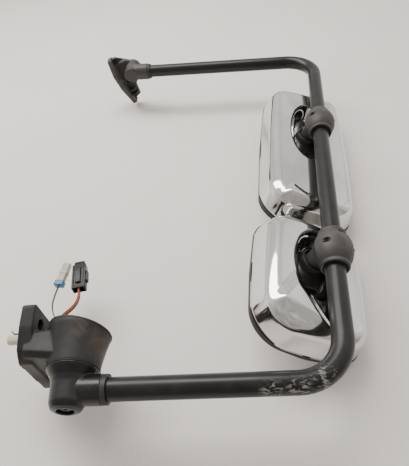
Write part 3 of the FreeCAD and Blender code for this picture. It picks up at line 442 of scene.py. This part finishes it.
class Wire(Enum):
    """The insulation colour of each wire, as its two tones."""

    RED = ((0.42, 0.045, 0.03), (0.50, 0.07, 0.04))
    ORANGE = ((0.62, 0.20, 0.035), (0.70, 0.27, 0.05))
    BROWN = ((0.14, 0.065, 0.03), (0.20, 0.10, 0.05))
    VIOLET = ((0.17, 0.07, 0.20), (0.24, 0.11, 0.27))
    BLACK = ((0.015, 0.015, 0.015), (0.03, 0.028, 0.026))
    CREAM = ((0.52, 0.44, 0.32), (0.60, 0.53, 0.40))

    def finish(self) -> Finish:
        """The insulation's finish."""
        label = "wire_" + self.name.lower()
        return Finish(label + "_insulation", label, self.value[0], self.value[1], 0.38, 0.08, patch=120.0)


_MADE: dict[str, bpy.types.Material] = {}


def material_of(finish: Finish) -> bpy.types.Material:
    """Find a finish's material, made once and shared.

    Args:
        finish: The finish.

    Returns:
        Its material.
    """
    if finish.name not in _MADE:
        _MADE[finish.name] = finish.make()
    return _MADE[finish.name]


def dress_node(name: str, finish: Finish) -> None:
    """Give a CAD node that stays in view its finish.

    Args:
        name: The node's name.
        finish: The finish.
    """
    for holder in frame["nodes"][name].material_slots:
        holder.material = material_of(finish)
    LOG.info("node %s in %s", name, finish.name)


# -------------------------------------------------------------------- shapes


def settle(piece: bpy.types.Object, finish: Finish, group: Group,
           stands_for: Sequence[str] = ()) -> bpy.types.Object:
    """Dress a piece, hang it on its body and log it.

    Args:
        piece: The piece.
        finish: Its finish.
        group: The body that it rides on.
        stands_for: The CAD nodes that it replaces.

    Returns:
        The piece.
    """
    piece.data.materials.clear()
    piece.data.materials.append(material_of(finish))
    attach(piece, group.value)
    if stands_for:
        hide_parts(*stands_for)
    LOG.info("piece %s on %s", piece.name, group.value)
    return piece


def mesh_piece(name: str, points: Iterable[Sequence[float]], faces: Iterable[Sequence[int]],
               place: Matrix = Matrix.Identity(4)) -> bpy.types.Object:
    """Make a smooth mesh object from points and faces.

    Args:
        name: The piece's name.
        points: The points, in metres, in the place's own frame.
        faces: The faces, as point numbers.
        place: Where that frame lies in the row's frame.

    Returns:
        The object, at the row's origin.
    """
    mesh = bpy.data.meshes.new(name)
    mesh.from_pydata([place @ Vector(point) for point in points], [], list(faces))
    mesh.validate()
    mesh.shade_smooth()
    piece = bpy.data.objects.new(name, mesh)
    bpy.context.scene.collection.objects.link(piece)
    return piece


def apply_modifiers(piece: bpy.types.Object) -> None:
    """Turn a piece's modifiers into its own mesh.

    Args:
        piece: The piece.
    """
    bpy.context.view_layer.update()
    graph = bpy.context.evaluated_depsgraph_get()
    mesh = bpy.data.meshes.new_from_object(piece.evaluated_get(graph))
    piece.modifiers.clear()
    piece.data = mesh
    mesh.shade_smooth()


def joined_copy(nodes: Sequence[str], name: str) -> bpy.types.Object:
    """Copy CAD nodes into one new object.

    Args:
        nodes: The CAD nodes to join.
        name: The new piece's name.

    Returns:
        The new piece.
    """
    joined = bmesh.new()
    for node in nodes:
        joined.from_mesh(frame["nodes"][node].data)
    bmesh.ops.remove_doubles(joined, verts=joined.verts, dist=WELD)
    mesh = bpy.data.meshes.new(name)
    joined.to_mesh(mesh)
    joined.free()
    piece = bpy.data.objects.new(name, mesh)
    bpy.context.scene.collection.objects.link(piece)
    return piece


def softened(nodes: Sequence[str], name: str, voxel: float, passes: int) -> bpy.types.Object:
    """Copy CAD nodes as one casting with softened edges and filleted corners.

    Args:
        nodes: The CAD nodes to join.
        name: The new piece's name.
        voxel: The mesh size, in metres.
        passes: How often the surface is smoothed.

    Returns:
        The new piece.
    """
    piece = joined_copy(nodes, name)
    remesh = piece.modifiers.new("remesh", "REMESH")
    remesh.mode = "VOXEL"
    remesh.voxel_size = voxel
    smooth = piece.modifiers.new("smooth", "SMOOTH")
    smooth.factor = 0.5
    smooth.iterations = passes
    apply_modifiers(piece)
    return piece


def bevelled(nodes: Sequence[str], name: str, width: float) -> bpy.types.Object:
    """Copy CAD nodes with rounded edges.

    Args:
        nodes: The CAD nodes to join.
        name: The new piece's name.
        width: The bevel's width, in metres.

    Returns:
        The new piece.
    """
    piece = joined_copy(nodes, name)
    flat = bmesh.new()
    flat.from_mesh(piece.data)
    bmesh.ops.dissolve_limit(flat, angle_limit=FLAT_ANGLE, verts=flat.verts, edges=flat.edges)
    flat.to_mesh(piece.data)
    flat.free()
    bevel = piece.modifiers.new("bevel", "BEVEL")
    bevel.width = width
    bevel.segments = 3
    bevel.limit_method = "ANGLE"
    bevel.angle_limit = math.radians(30)
    apply_modifiers(piece)
    piece.data.set_sharp_from_angle(angle=math.radians(40))
    return piece


def circle(steps: int) -> list[float]:
    """The angles of evenly spaced points round a circle."""
    return [2 * math.pi * step / steps for step in range(steps)]


def loft(rings: Sequence[Sequence[Sequence[float]]], closed: bool = False) -> tuple[list, list]:
    """Join rings of the same number of points.

    Args:
        rings: The rings, in order.
        closed: True to join the last ring to the first.

    Returns:
        The points and the faces.
    """
    count = len(rings[0])
    points = [point for ring in rings for point in ring]
    faces = []
    last = len(rings) if closed else len(rings) - 1
    for ring in range(last):
        here = ring * count
        there = (ring + 1) % len(rings) * count
        for index in range(count):
            after = (index + 1) % count
            faces.append((here + index, here + after, there + after, there + index))
    return points, faces


def bead(path: Sequence[Vector], radius: float, sides: int = 14) -> tuple[list, list]:
    """A round bead along a closed path.

    Args:
        path: The path's points.
        radius: The bead's radius.
        sides: Points round the bead.

    Returns:
        The points and the faces.
    """
    rings = []
    centre = sum(path, Vector()) / len(path)
    for index, spot in enumerate(path):
        along = (path[(index + 1) % len(path)] - path[index - 1]).normalized()
        out = (spot - centre).normalized()
        out = (out - along * out.dot(along)).normalized()
        up = along.cross(out)
        rings.append([spot + (out * math.cos(turn) + up * math.sin(turn)) * radius
                      for turn in circle(sides)])
    return loft(rings, closed=True)


# ----------------------------------------------------------------- the base


@dataclass
class Base:
    """The casting bolted to the vehicle, with its trumpet and fittings."""

    voxel: float = 1.5 * MM
    passes: int = 5
    lip_radius: float = 3.3 * MM
    lip_steps: int = 96
    rim_radius: float = 53.0 * MM
    rim_height: float = 17.0 * MM
    rim_tilt: float = math.radians(10)
    seam_height: float = -54.6 * MM
    seam_radius: float = 44.2 * MM
    seam_bead: float = 0.9 * MM

    def build(self) -> None:
        """Build every piece of the base."""
        pivot = Vector(joint_place("arm_swivel")[0])
        self.casting()
        self.lip(pivot)
        self.seam(pivot)
        self.fittings()

    def casting(self) -> None:
        """The flange, bridge and trumpet, softened as one moulding."""
        piece = softened(["base_casting"], "base_moulding", self.voxel, self.passes)
        settle(piece, BASE_PLASTIC, Group.BASE, ["base_casting"])

    def lip(self, pivot: Vector) -> None:
        """The rounded lip round the trumpet's tilted mouth.

        Args:
            pivot: A point on the breakaway pivot.
        """
        path = []
        for turn in circle(self.lip_steps):
            out = self.rim_radius * math.cos(turn)
            height = self.rim_height - out * math.tan(self.rim_tilt)
            path.append(pivot + Vector((out, self.rim_radius * math.sin(turn), height)))
        piece = mesh_piece("trumpet_lip", *bead(path, self.lip_radius))
        settle(piece, BEZEL_BLACK, Group.BASE)

    def seam(self, pivot: Vector) -> None:
        """The dark joint line between the trumpet and the turning casting.

        Args:
            pivot: A point on the breakaway pivot.
        """
        radius = self.seam_radius
        path = [pivot + Vector((radius * math.cos(turn), radius * math.sin(turn), self.seam_height))
                for turn in circle(self.lip_steps)]
        settle(mesh_piece("pivot_joint_line", *bead(path, self.seam_bead, 10)), RUBBER, Group.BASE)

    def fittings(self) -> None:
        """Dress the small parts that stay as they are."""
        finishes = {"base_gasket": GASKET, "passage_plug": RUBBER, "harness_grommet": RUBBER,
                    "pivot_bolt": DARK_STEEL, "thrust_washer": STEEL, "fixed_detent_ring": STEEL}
        for name, finish in finishes.items():
            dress_node(name, finish)
        sleeve = bevelled(["wiring_sleeve"], "cream_sleeve", 0.8 * MM)
        settle(sleeve, SLEEVE_CREAM, Group.BASE, ["wiring_sleeve"])
        hook = bevelled(["retaining_hook"], "hook_clip", 0.7 * MM)
        settle(hook, DRIVE_BLACK, Group.BASE, ["retaining_hook"])


# --------------------------------------------------------------- the wiring


@dataclass
class Wiring:
    """The wires behind the base and the two plugs on their ends."""

    pitch: float = 3.0 * MM
    thick: float = 1.3 * MM
    thin: float = 1.1 * MM
    thick_length: float = 144.5 * MM
    thin_length: float = 142.7 * MM
    rib_sides: int = 12
    thick_route: tuple[Point, ...] = (
        (0.033, -0.002, 0.017), (0.033, -0.002, 0.042), (0.027, 0.008, 0.074), (0.050, 0.010, 0.097),
        (0.056, 0.010, 0.120), (0.0525, 0.010, 0.138), (0.0505, 0.010, 0.152))
    thin_route: tuple[Point, ...] = (
        (0.030, -0.002, 0.017), (0.030, -0.002, 0.038), (0.0275, 0.004, 0.062), (0.011, 0.009, 0.082),
        (0.0025, 0.010, 0.106), (0.003, 0.010, 0.130), (0.006, 0.010, 0.152))

    def build(self) -> None:
        """Build the plugs, then the wires that end in them."""
        black = self.black_plug()
        grey = self.grey_plug()
        for index, wire in enumerate((Wire.RED, Wire.ORANGE, Wire.BROWN, Wire.VIOLET)):
            shift = (index - 1.5) * self.pitch
            self.wire(wire, self.thick_route, shift, self.thick, self.thick_length, black)
        for index, wire in enumerate((Wire.BLACK, Wire.CREAM)):
            shift = (index - 0.5) * self.pitch
            self.wire(wire, self.thin_route, shift, self.thin, self.thin_length, grey)

    def wire(self, wire: Wire, route: Sequence[Point], shift: float, radius: float, length: float,
             plugs: Sequence[bpy.types.Object]) -> None:
        """Lay one wire along its route.

        Args:
            wire: Which wire it is.
            route: The points that its line bends towards.
            shift: How far it lies beside the route.
            radius: Its radius.
            length: The wire's real length; not used.
            plugs: The pieces on its end; not used.
        """
        name = "wire_" + wire.name.lower()
        curve = bpy.data.curves.new(name + "_run", "CURVE")
        curve.dimensions = "3D"
        curve.bevel_depth = radius
        curve.bevel_resolution = 4
        curve.resolution_u = 16
        curve.use_fill_caps = True
        spline = curve.splines.new("NURBS")
        spline.points.add(len(route) - 1)
        for point, spot in zip(spline.points, route):
            point.co = (spot[0], spot[1] + shift, spot[2], 1.0)
        spline.order_u = 3
        spline.use_endpoint_u = True
        piece = bpy.data.objects.new(name + "_run", curve)
        bpy.context.scene.collection.objects.link(piece)
        settle(piece, wire.finish(), Group.BASE, [name])

    def black_plug(self) -> list[bpy.types.Object]:
        """The wide black plug and its latch.

        Returns:
            Its pieces.
        """
        body = bevelled(["black_connector"], "black_plug", 1.2 * MM)
        settle(body, PLUG_BLACK, Group.BASE, ["black_connector"])
        latch = bevelled(["black_connector_latch"], "black_plug_latch", 0.6 * MM)
        settle(latch, PLUG_BLACK, Group.BASE, ["black_connector_latch"])
        ribs = self.ribs("black_plug_ribs", self.thick_route, (-2, 44), (-10, -5, 0, 5, 10), 9.0, 1.1)
        settle(ribs, PLUG_BLACK, Group.BASE)
        return [body, latch, ribs]

    def grey_plug(self) -> list[bpy.types.Object]:
        """The pale plug and its blue lock.

        Returns:
            Its pieces.
        """
        body = bevelled(["grey_connector"], "pale_plug", 1.0 * MM)
        settle(body, PLUG_GREY, Group.BASE, ["grey_connector"])
        lock = bevelled(["blue_lock"], "blue_plug_lock", 1.2 * MM)
        settle(lock, LOCK_BLUE, Group.BASE, ["blue_lock"])
        ribs = self.ribs("pale_plug_ribs", self.thin_route, (36, 54), (-4.5, 0, 4.5), 6.0, 0.9)
        settle(ribs, PLUG_GREY, Group.BASE)
        return [body, lock, ribs]

    def ribs(self, name: str, route: Sequence[Point], span: tuple[float, float], shifts: Sequence[float],
             side: float, radius: float) -> bpy.types.Object:
        """Rounded ribs along a plug's front face. Sizes in millimetres.

        Args:
            name: The piece's name.
            route: The route whose end enters the plug.
            span: Where each rib starts and ends along the plug.
            shifts: How far each rib lies from the plug's middle.
            side: How far the face stands from the plug's middle.
            radius: The ribs' radius.

        Returns:
            The ribs as one piece.
        """
        end = Vector(route[-1])
        along = (end - Vector(route[-2])).normalized()
        front = Vector((0, -1, 0))
        across = front.cross(along).normalized()
        low, high = span
        stations = ((low, 0.2), (low + radius, 0.9), (low + 2 * radius, 1.0),
                    (high - 2 * radius, 1.0), (high - radius, 0.9), (high, 0.2))
        count = self.rib_sides
        points: list[Vector] = []
        faces: list[tuple[int, ...]] = []
        for shift in shifts:
            rings = []
            for height, share in stations:
                middle = end + (along * height + across * shift + front * side) * MM
                size = radius * share * MM
                rings.append([middle + (across * math.cos(turn) + front * math.sin(turn)) * size
                              for turn in circle(count)])
            more, sides = loft(rings)
            offset = len(points)
            points += more
            top = len(points) - count
            faces += [tuple(index + offset for index in face) for face in sides]
            faces.append(tuple(offset + index for index in range(count - 1, -1, -1)))
            faces.append(tuple(top + index for index in range(count)))
        return mesh_piece(name, points, faces)


# ------------------------------------------------------------------ the arm


@dataclass
class Arm:
    """The turning casting, the bent tube and the upper knuckle."""

    knuckle_voxel: float = 1.1 * MM
    knuckle_passes: int = 9
    turret_voxel: float = 1.0 * MM
    turret_passes: int = 5

    def build(self) -> None:
        """Build every piece of the arm."""
        knuckle = softened(["lower_knuckle"], "turning_casting", self.knuckle_voxel, self.knuckle_passes)
        settle(knuckle, CAST_GLOSS, Group.ARM, ["lower_knuckle"])
        turret = softened(["upper_knuckle"], "upper_turret", self.turret_voxel, self.turret_passes)
        settle(turret, CAST_MATT, Group.ARM, ["upper_knuckle"])
        finishes = {"loop_tube": TUBE_BLACK, "arm_loom": RUBBER, "socket_seal": RUBBER,
                    "upper_socket_seal": RUBBER, "turning_detent_ring": STEEL, "swivel_bush": NYLON_BROWN,
                    "detent_spring": STEEL, "upper_bush": NYLON_BROWN, "upper_clamp_liner": NYLON_BLACK,
                    "lower_clamp_liner": NYLON_BLACK}
        for name, finish in finishes.items():
            dress_node(name, finish)


@dataclass
class Bracket:
    """The upper bracket that bolts to the body above the base."""

    voxel: float = 1.1 * MM
    passes: int = 5

    def build(self) -> None:
        """Build the bracket and dress its pin."""
        piece = softened(["upper_bracket"], "bracket_casting", self.voxel, self.passes)
        settle(piece, CAST_MATT, Group.BRACKET, ["upper_bracket"])
        dress_node("upper_pivot_pin", DARK_STEEL)


# ---------------------------------------------------------------- the heads


def joint_place(name: str) -> tuple[Point, Point]:
    """Where a joint stands.

    Args:
        name: The joint's name.

    Returns:
        Its point and its axis.
    """
    joint = next(entry for entry in frame["joints"] if entry["name"] == name)
    return tuple(joint["pos_m"]), tuple(joint["axis"])


def smooth_step(value: float) -> float:
    """Ease a value from nought to one."""
    held = min(max(value, 0.0), 1.0)
    return held * held * (3 - 2 * held)


@dataclass
class Pod:
    """A raised three-cornered facet low on a chromed shell."""

    apex: tuple[float, float]
    left: tuple[float, float]
    right: tuple[float, float]
    height: float = 7.0
    edge: float = 9.0

    def rise(self, x: float, z: float) -> float:
        """How far the facet stands at a place.

        Args:
            x: Across the head, in millimetres.
            z: Up the head, in millimetres.

        Returns:
            The height, in millimetres.
        """
        corners = (self.apex, self.left, self.right)
        inside = math.inf
        for first, second in zip(corners, corners[1:] + corners[:1]):
            run = (second[0] - first[0], second[1] - first[1])
            length = math.hypot(*run)
            inside = min(inside, ((z - first[1]) * run[0] - (x - first[0]) * run[1]) / length)
        return self.height * smooth_step(inside / self.edge)


@dataclass
class Head:
    """One mirror head: chromed shell, clamp, bezel and glass. Sizes in millimetres."""

    name: str
    group: Group
    up: float
    down: float
    dish_z: float
    dish_tall: float
    pod: Pod
    wide: float = 230.0
    offset: float = -17.0
    back: float = 25.0
    rim: float = 88.0
    taper: float = math.radians(14)
    round: float = 30.0
    corner: float = 46.0
    low_corner: float = 72.0
    least_corner: float = 4.0
    edge_bow: float = 10.0
    side_bow: float = 5.0
    dish_x: float = -20.0
    dish_wide: float = 54.0
    floor: float = 52.0
    floor_wide: float = 29.0
    floor_cut: float = 28.0
    cone_share: float = 0.45
    crown: float = 4.0
    voxel: float = 1.1 * MM
    passes: int = 6
    arc_steps: int = 30
    side_steps: int = 76
    end_steps: int = 34
    inner_rings: int = 84
    wall_rings: int = 8
    edge_rings: int = 16
    edge_end: float = math.radians(84)
    pod_start: float = 8.0
    pod_fade: float = 25.0
    wall: float = 1.5
    round_steps: int = 56
    boot_steps: int = 48
    boot: tuple[tuple[float, float], ...] = (
        (25.0, 40.0), (27.5, 43.0), (26.0, 46.0), (28.5, 49.0), (27.0, 52.0), (22.0, 54.0))
    collar: tuple[tuple[float, float], ...] = (
        (23.0, 24.0), (27.0, 31.0), (28.2, 37.0), (28.2, 40.5), (27.2, 42.6),
        (25.0, 43.2), (22.6, 42.6), (21.0, 40.5), (20.6, 36.0), (20.6, 26.0))
    place: Matrix = field(init=False)

    def __post_init__(self) -> None:
        """Find the head's own frame from its joints."""
        origin, up = joint_place(self.name + "_head_turn")
        across = joint_place(self.name + "_glass_tilt")[1]
        rear = Vector(up).cross(Vector(across))
        self.place = Matrix((across, rear, up)).transposed().to_4x4()
        self.place.translation = origin
        self.middle = (self.up - self.down) / 2

    def build(self) -> None:
        """Build every piece of the head."""
        self.shell()
        self.clamp()
        finishes = {"bezel": BEZEL_BLACK, "clamp_screws": DARK_STEEL, "mount_plate": PLATE_GREY,
                    "glass_drive": DRIVE_BLACK, "gimbal": NYLON_BROWN, "glass_holder": HOLDER_BLACK,
                    "heater_pad": HEATER, "glass": MIRROR_GLASS}
        for piece, finish in finishes.items():
            dress_node(f"{self.name}_{piece}", finish)

    def outline(self, inset: float) -> list[tuple[float, float]]:
        """The head's outline moved in by an inset.

        Args:
            inset: How far in, in millimetres.

        Returns:
            Points round the outline, anticlockwise from the low inboard corner.
        """
        half_wide = self.wide / 2 - inset
        half_tall = (self.up + self.down) / 2 - inset
        low = max(self.low_corner - inset, self.least_corner)
        other = max(self.corner - inset, self.least_corner)
        corners = ((-1, -1, low, 180), (1, -1, other, 270), (1, 1, other, 0), (-1, 1, other, 90))
        points: list[tuple[float, float]] = []
        for index, (side, end, radius, start) in enumerate(corners):
            centre = (side * (half_wide - radius), end * (half_tall - radius))
            for step in range(self.arc_steps):
                turn = math.radians(start + 90 * step / self.arc_steps)
                points.append((centre[0] + radius * math.cos(turn), centre[1] + radius * math.sin(turn)))
            after = corners[(index + 1) % 4]
            steps = self.end_steps if index % 2 == 0 else self.side_steps
            turn = math.radians(start + 90)
            first = (centre[0] + radius * math.cos(turn), centre[1] + radius * math.sin(turn))
            next_centre = (after[0] * (half_wide - after[2]), after[1] * (half_tall - after[2]))
            last = (next_centre[0] + after[2] * math.cos(turn), next_centre[1] + after[2] * math.sin(turn))
            run = (last[0] - first[0], last[1] - first[1])
            for part in (step / steps for step in range(steps)):
                points.append((first[0] + run[0] * part, first[1] + run[1] * part))
        bowed = []
        for x, z in points:
            bent_x = x * (1 - self.side_bow / half_wide * (z / half_tall) ** 2)
            bent_z = z * (1 - self.edge_bow / half_tall * (x / half_wide) ** 2)
            bowed.append((self.offset + bent_x, self.middle + bent_z))
        return bowed

    def sink(self, x: float, z: float) -> float:
        """How deep the dish is at a place.

        Args:
            x: Across the head, in millimetres.
            z: Up the head, in millimetres.

        Returns:
            The share of the dish's whole depth.
        """
        across = x - self.dish_x
        along = z - self.dish_z
        outer = math.hypot(across / self.dish_wide, along / self.dish_tall)
        if outer >= 1:
            return 0.0
        inner = math.hypot(across / self.floor_wide, along / (self.dish_tall - self.floor_cut))
        if inner <= 1:
            return 1.0
        part = (1 - outer) / ((1 - outer) + (inner - 1))
        return self.cone_share * part + (1 - self.cone_share) * smooth_step(part)

    def profile(self) -> list[tuple[float, float]]:
        """The shell's wall and rounded edge, from the rim to its back.

        Returns:
            How far in each ring lies, and how deep.
        """
        centre_y = self.back + self.round
        centre_inset = (self.rim - centre_y) * math.tan(self.taper) + self.round / math.cos(self.taper)

        def edge(turn: float) -> tuple[float, float]:
            """A place on the rounded edge."""
            return centre_inset - self.round * math.cos(turn), centre_y - self.round * math.sin(turn)

        top = edge(self.taper)
        wall = [(top[0] * step / self.wall_rings, self.rim + (top[1] - self.rim) * step / self.wall_rings)
                for step in range(self.wall_rings)]
        sweep = (self.edge_end - self.taper) / self.edge_rings
        return wall + [edge(self.taper + sweep * step) for step in range(self.edge_rings + 1)]

    def shell(self) -> None:
        """The chromed cover, with its dish and facet."""
        profile = self.profile()
        rings = []
        for inset, depth in profile:
            share = smooth_step((inset - self.pod_start) / self.pod_fade)
            rings.append([(x, depth - self.pod.rise(x, z) * share, z) for x, z in self.outline(inset)])
        edge_inset, shallow = profile[-1]
        edge = self.outline(edge_inset)
        for step in range(1, self.inner_rings + 1):
            part = 1 - step / (self.inner_rings + 0.5)
            ring = []
            for x, z in edge:
                spot_x = self.offset + (x - self.offset) * part
                spot_z = self.middle + (z - self.middle) * part
                depth = shallow - self.crown * (1 - part * part)
                depth += (self.floor - depth) * self.sink(spot_x, spot_z)
                ring.append((spot_x, depth - self.pod.rise(spot_x, spot_z), spot_z))
            rings.append(ring)
        points, faces = loft(rings)
        count = len(rings[0])
        faces.append(tuple(len(points) - count + index for index in range(count)))
        scaled = [tuple(part * MM for part in point) for point in points]
        piece = mesh_piece(f"{self.name}_chrome_shell", scaled, faces, self.place)
        solid = piece.modifiers.new("wall", "SOLIDIFY")
        solid.thickness = self.wall * MM
        solid.offset = 0.0
        apply_modifiers(piece)
        settle(piece, CHROME_SHELL, self.group, [f"{self.name}_shell"])

    def clamp(self) -> None:
        """The two cast halves of the clamp, the boot on its neck and its collars."""
        for half in ("clamp_front", "clamp_rear"):
            piece = softened([f"{self.name}_{half}"], f"{self.name}_{half}_casting", self.voxel, self.passes)
            settle(piece, CAST_MATT, self.group, [f"{self.name}_{half}"])
        rings = []
        for radius, height in self.boot:
            lean = self.dish_x * height / self.floor
            rings.append([(lean + radius * math.cos(turn), height, radius * math.sin(turn))
                          for turn in circle(self.boot_steps)])
        self.turned("neck_boot", rings, RUBBER)
        for end, tag in ((1, "top"), (-1, "low")):
            rings = [[(radius * math.cos(turn), radius * math.sin(turn), end * height)
                      for turn in circle(self.round_steps)] for radius, height in self.collar]
            self.turned(f"clamp_collar_{tag}", rings, CAST_MATT, closed=True)

    def turned(self, name: str, rings: Sequence[Sequence[Point]], finish: Finish,
               closed: bool = False) -> None:
        """Make a turned piece from rings in the head's own frame.

        Args:
            name: The piece's name, after the head's.
            rings: Its rings, in millimetres.
            finish: Its finish.
            closed: True to join the last ring to the first.
        """
        points, faces = loft(rings, closed)
        scaled = [tuple(part * MM for part in point) for point in points]
        settle(mesh_piece(f"{self.name}_{name}", scaled, faces, self.place), finish, self.group)


# ---------------------------------------------------------------- the studio


@dataclass
class Studio:
    """The pale floor that the mirror lies on, the light and the camera."""

    floor_gap: float = 2.0 * MM
    floor_half: float = 5.0
    floor_tone: Tone = (0.84, 0.80, 0.765)
    camera_spot: Point = (0.37086, -0.66567, -0.34960)
    camera_right: Point = (0.99441, 0.10282, -0.02371)
    camera_up: Point = (0.08662, -0.66708, 0.73993)
    camera_back: Point = (0.06026, -0.73786, -0.67226)
    lens: float = 31.67
    sensor: float = 36.0
    room_strength: float = 1.35
    room_tones: tuple[tuple[float, Tone], ...] = (
        (0.30, (0.42, 0.40, 0.38)), (0.62, (1.0, 0.97, 0.935)), (0.86, (0.80, 0.78, 0.75)))
    streak_scale: float = 2.6
    streak_range: tuple[float, float, float, float] = (0.35, 0.65, 0.72, 1.06)
    lamp_spot: Point = (-0.5, -2.2, 1.5)
    lamp_aim: Point = (0.35, 0.0, 0.4)
    lamp_size: tuple[float, float] = (2.4, 1.2)
    lamp_power: float = 78.0
    lamp_tone: Tone = (1.0, 0.975, 0.94)

    def build(self) -> None:
        """Set the stage, the light and the camera."""
        self.floor()
        self.light()
        self.camera()

    def floor(self) -> None:
        """A pale sheet under the mirror's back, seen from its front only."""
        depth = CAD_BOX[1][1] + self.floor_gap
        half = self.floor_half
        corners = ((-half, depth, -half), (half, depth, -half), (half, depth, half), (-half, depth, half))
        piece = mesh_piece("pale_floor", corners, [(0, 1, 2, 3)])
        graph = Graph("floor_sheet")
        tone = graph.blend(graph.span(graph.noise(2.5, 4.0), 0.3, 0.7), self.floor_tone,
                           tuple(part * 0.965 for part in self.floor_tone))
        graph.join(tone, graph.shader.inputs["Base Color"])
        graph.shader.inputs["Roughness"].default_value = 0.7
        graph.join(graph.bump(graph.noise(3.0, 3.0, 0.5), 0.004), graph.shader.inputs["Normal"])
        clear = graph.add("ShaderNodeBsdfTransparent")
        choice = graph.add("ShaderNodeMixShader")
        graph.join(graph.add("ShaderNodeNewGeometry").outputs["Backfacing"], choice.inputs["Fac"])
        graph.join(graph.shader.outputs["BSDF"], choice.inputs[1])
        graph.join(clear.outputs["BSDF"], choice.inputs[2])
        graph.join(choice.outputs["Shader"], graph.tree.nodes["Material Output"].inputs["Surface"])
        piece.data.materials.append(graph.material)

    def light(self) -> None:
        """A soft pale room and one wide lamp."""
        world = bpy.data.worlds.new("studio")
        bpy.context.scene.world = world
        world.use_nodes = True
        tree = world.node_tree
        ground = tree.nodes["Background"]
        ground.inputs["Strength"].default_value = self.room_strength
        coordinates = tree.nodes.new("ShaderNodeTexCoord")
        split = tree.nodes.new("ShaderNodeSeparateXYZ")
        shift = tree.nodes.new("ShaderNodeMapRange")
        shift.inputs["From Min"].default_value = -1.0
        ramp = tree.nodes.new("ShaderNodeValToRGB")
        stops = ramp.color_ramp.elements
        for stop, (position, tone) in zip((stops[0], stops[1], stops.new(1.0)), self.room_tones):
            stop.position = position
            stop.color = (*tone, 1.0)
        streaks = tree.nodes.new("ShaderNodeTexNoise")
        streaks.inputs["Scale"].default_value = self.streak_scale
        streaks.inputs["Detail"].default_value = 2.0
        shade = tree.nodes.new("ShaderNodeMapRange")
        for socket, setting in zip(("From Min", "From Max", "To Min", "To Max"), self.streak_range):
            shade.inputs[socket].default_value = setting
        scale = tree.nodes.new("ShaderNodeVectorMath")
        scale.operation = "SCALE"
        for source, target in (
                (coordinates.outputs["Generated"], split.inputs["Vector"]),
                (coordinates.outputs["Generated"], streaks.inputs["Vector"]),
                (split.outputs["Z"], shift.inputs["Value"]),
                (shift.outputs["Result"], ramp.inputs["Fac"]),
                (streaks.outputs["Fac"], shade.inputs["Value"]),
                (ramp.outputs["Color"], scale.inputs[0]),
                (shade.outputs["Result"], scale.inputs["Scale"]),
                (scale.outputs["Vector"], ground.inputs["Color"])):
            tree.links.new(source, target)
        lamp = bpy.data.lights.new("wide_lamp", "AREA")
        lamp.shape = "RECTANGLE"
        lamp.size, lamp.size_y = self.lamp_size
        lamp.energy = self.lamp_power
        lamp.color = self.lamp_tone
        holder = bpy.data.objects.new("wide_lamp", lamp)
        bpy.context.scene.collection.objects.link(holder)
        holder.location = Vector(self.lamp_spot)
        aim = Vector(self.lamp_aim)
        holder.rotation_euler = (aim - holder.location).to_track_quat("-Z", "Y").to_euler()

    def camera(self) -> None:
        """The camera, low in front and looking up along the arm."""
        data = bpy.data.cameras.new("camera")
        data.sensor_fit = "VERTICAL"
        data.sensor_height = self.sensor
        data.lens = self.lens
        data.clip_end = 50.0
        camera = bpy.data.objects.new("camera", data)
        bpy.context.scene.collection.objects.link(camera)
        turn = Matrix((self.camera_right, self.camera_up, self.camera_back)).transposed()
        camera.matrix_world = Matrix.Translation(self.camera_spot) @ turn.to_4x4()
        bpy.context.scene.camera = camera


# -------------------------------------------------------------------- making


def main() -> None:
    """Build the mirror, piece by piece."""
    logging.basicConfig(level=logging.INFO, format="%(message)s")
    Studio().build()
    Wiring().build()
    Base().build()
    Arm().build()
    Bracket().build()
    Head("upper", Group.UPPER_HEAD, 206.0, 300.0, -5.0, 125.0,
         Pod((-66.0, -228.0), (-118.0, -276.0), (16.0, -292.0), 7.0, 20.0)).build()
    dress_node("upper_drain_grommet", RUBBER)
    Head("lower", Group.LOWER_HEAD, 110.0, 188.0, -22.0, 88.0,
         Pod((-72.0, -52.0), (-126.0, -136.0), (20.0, -178.0), 9.0, 24.0)).build()


if __name__ == "__main__":
    main()
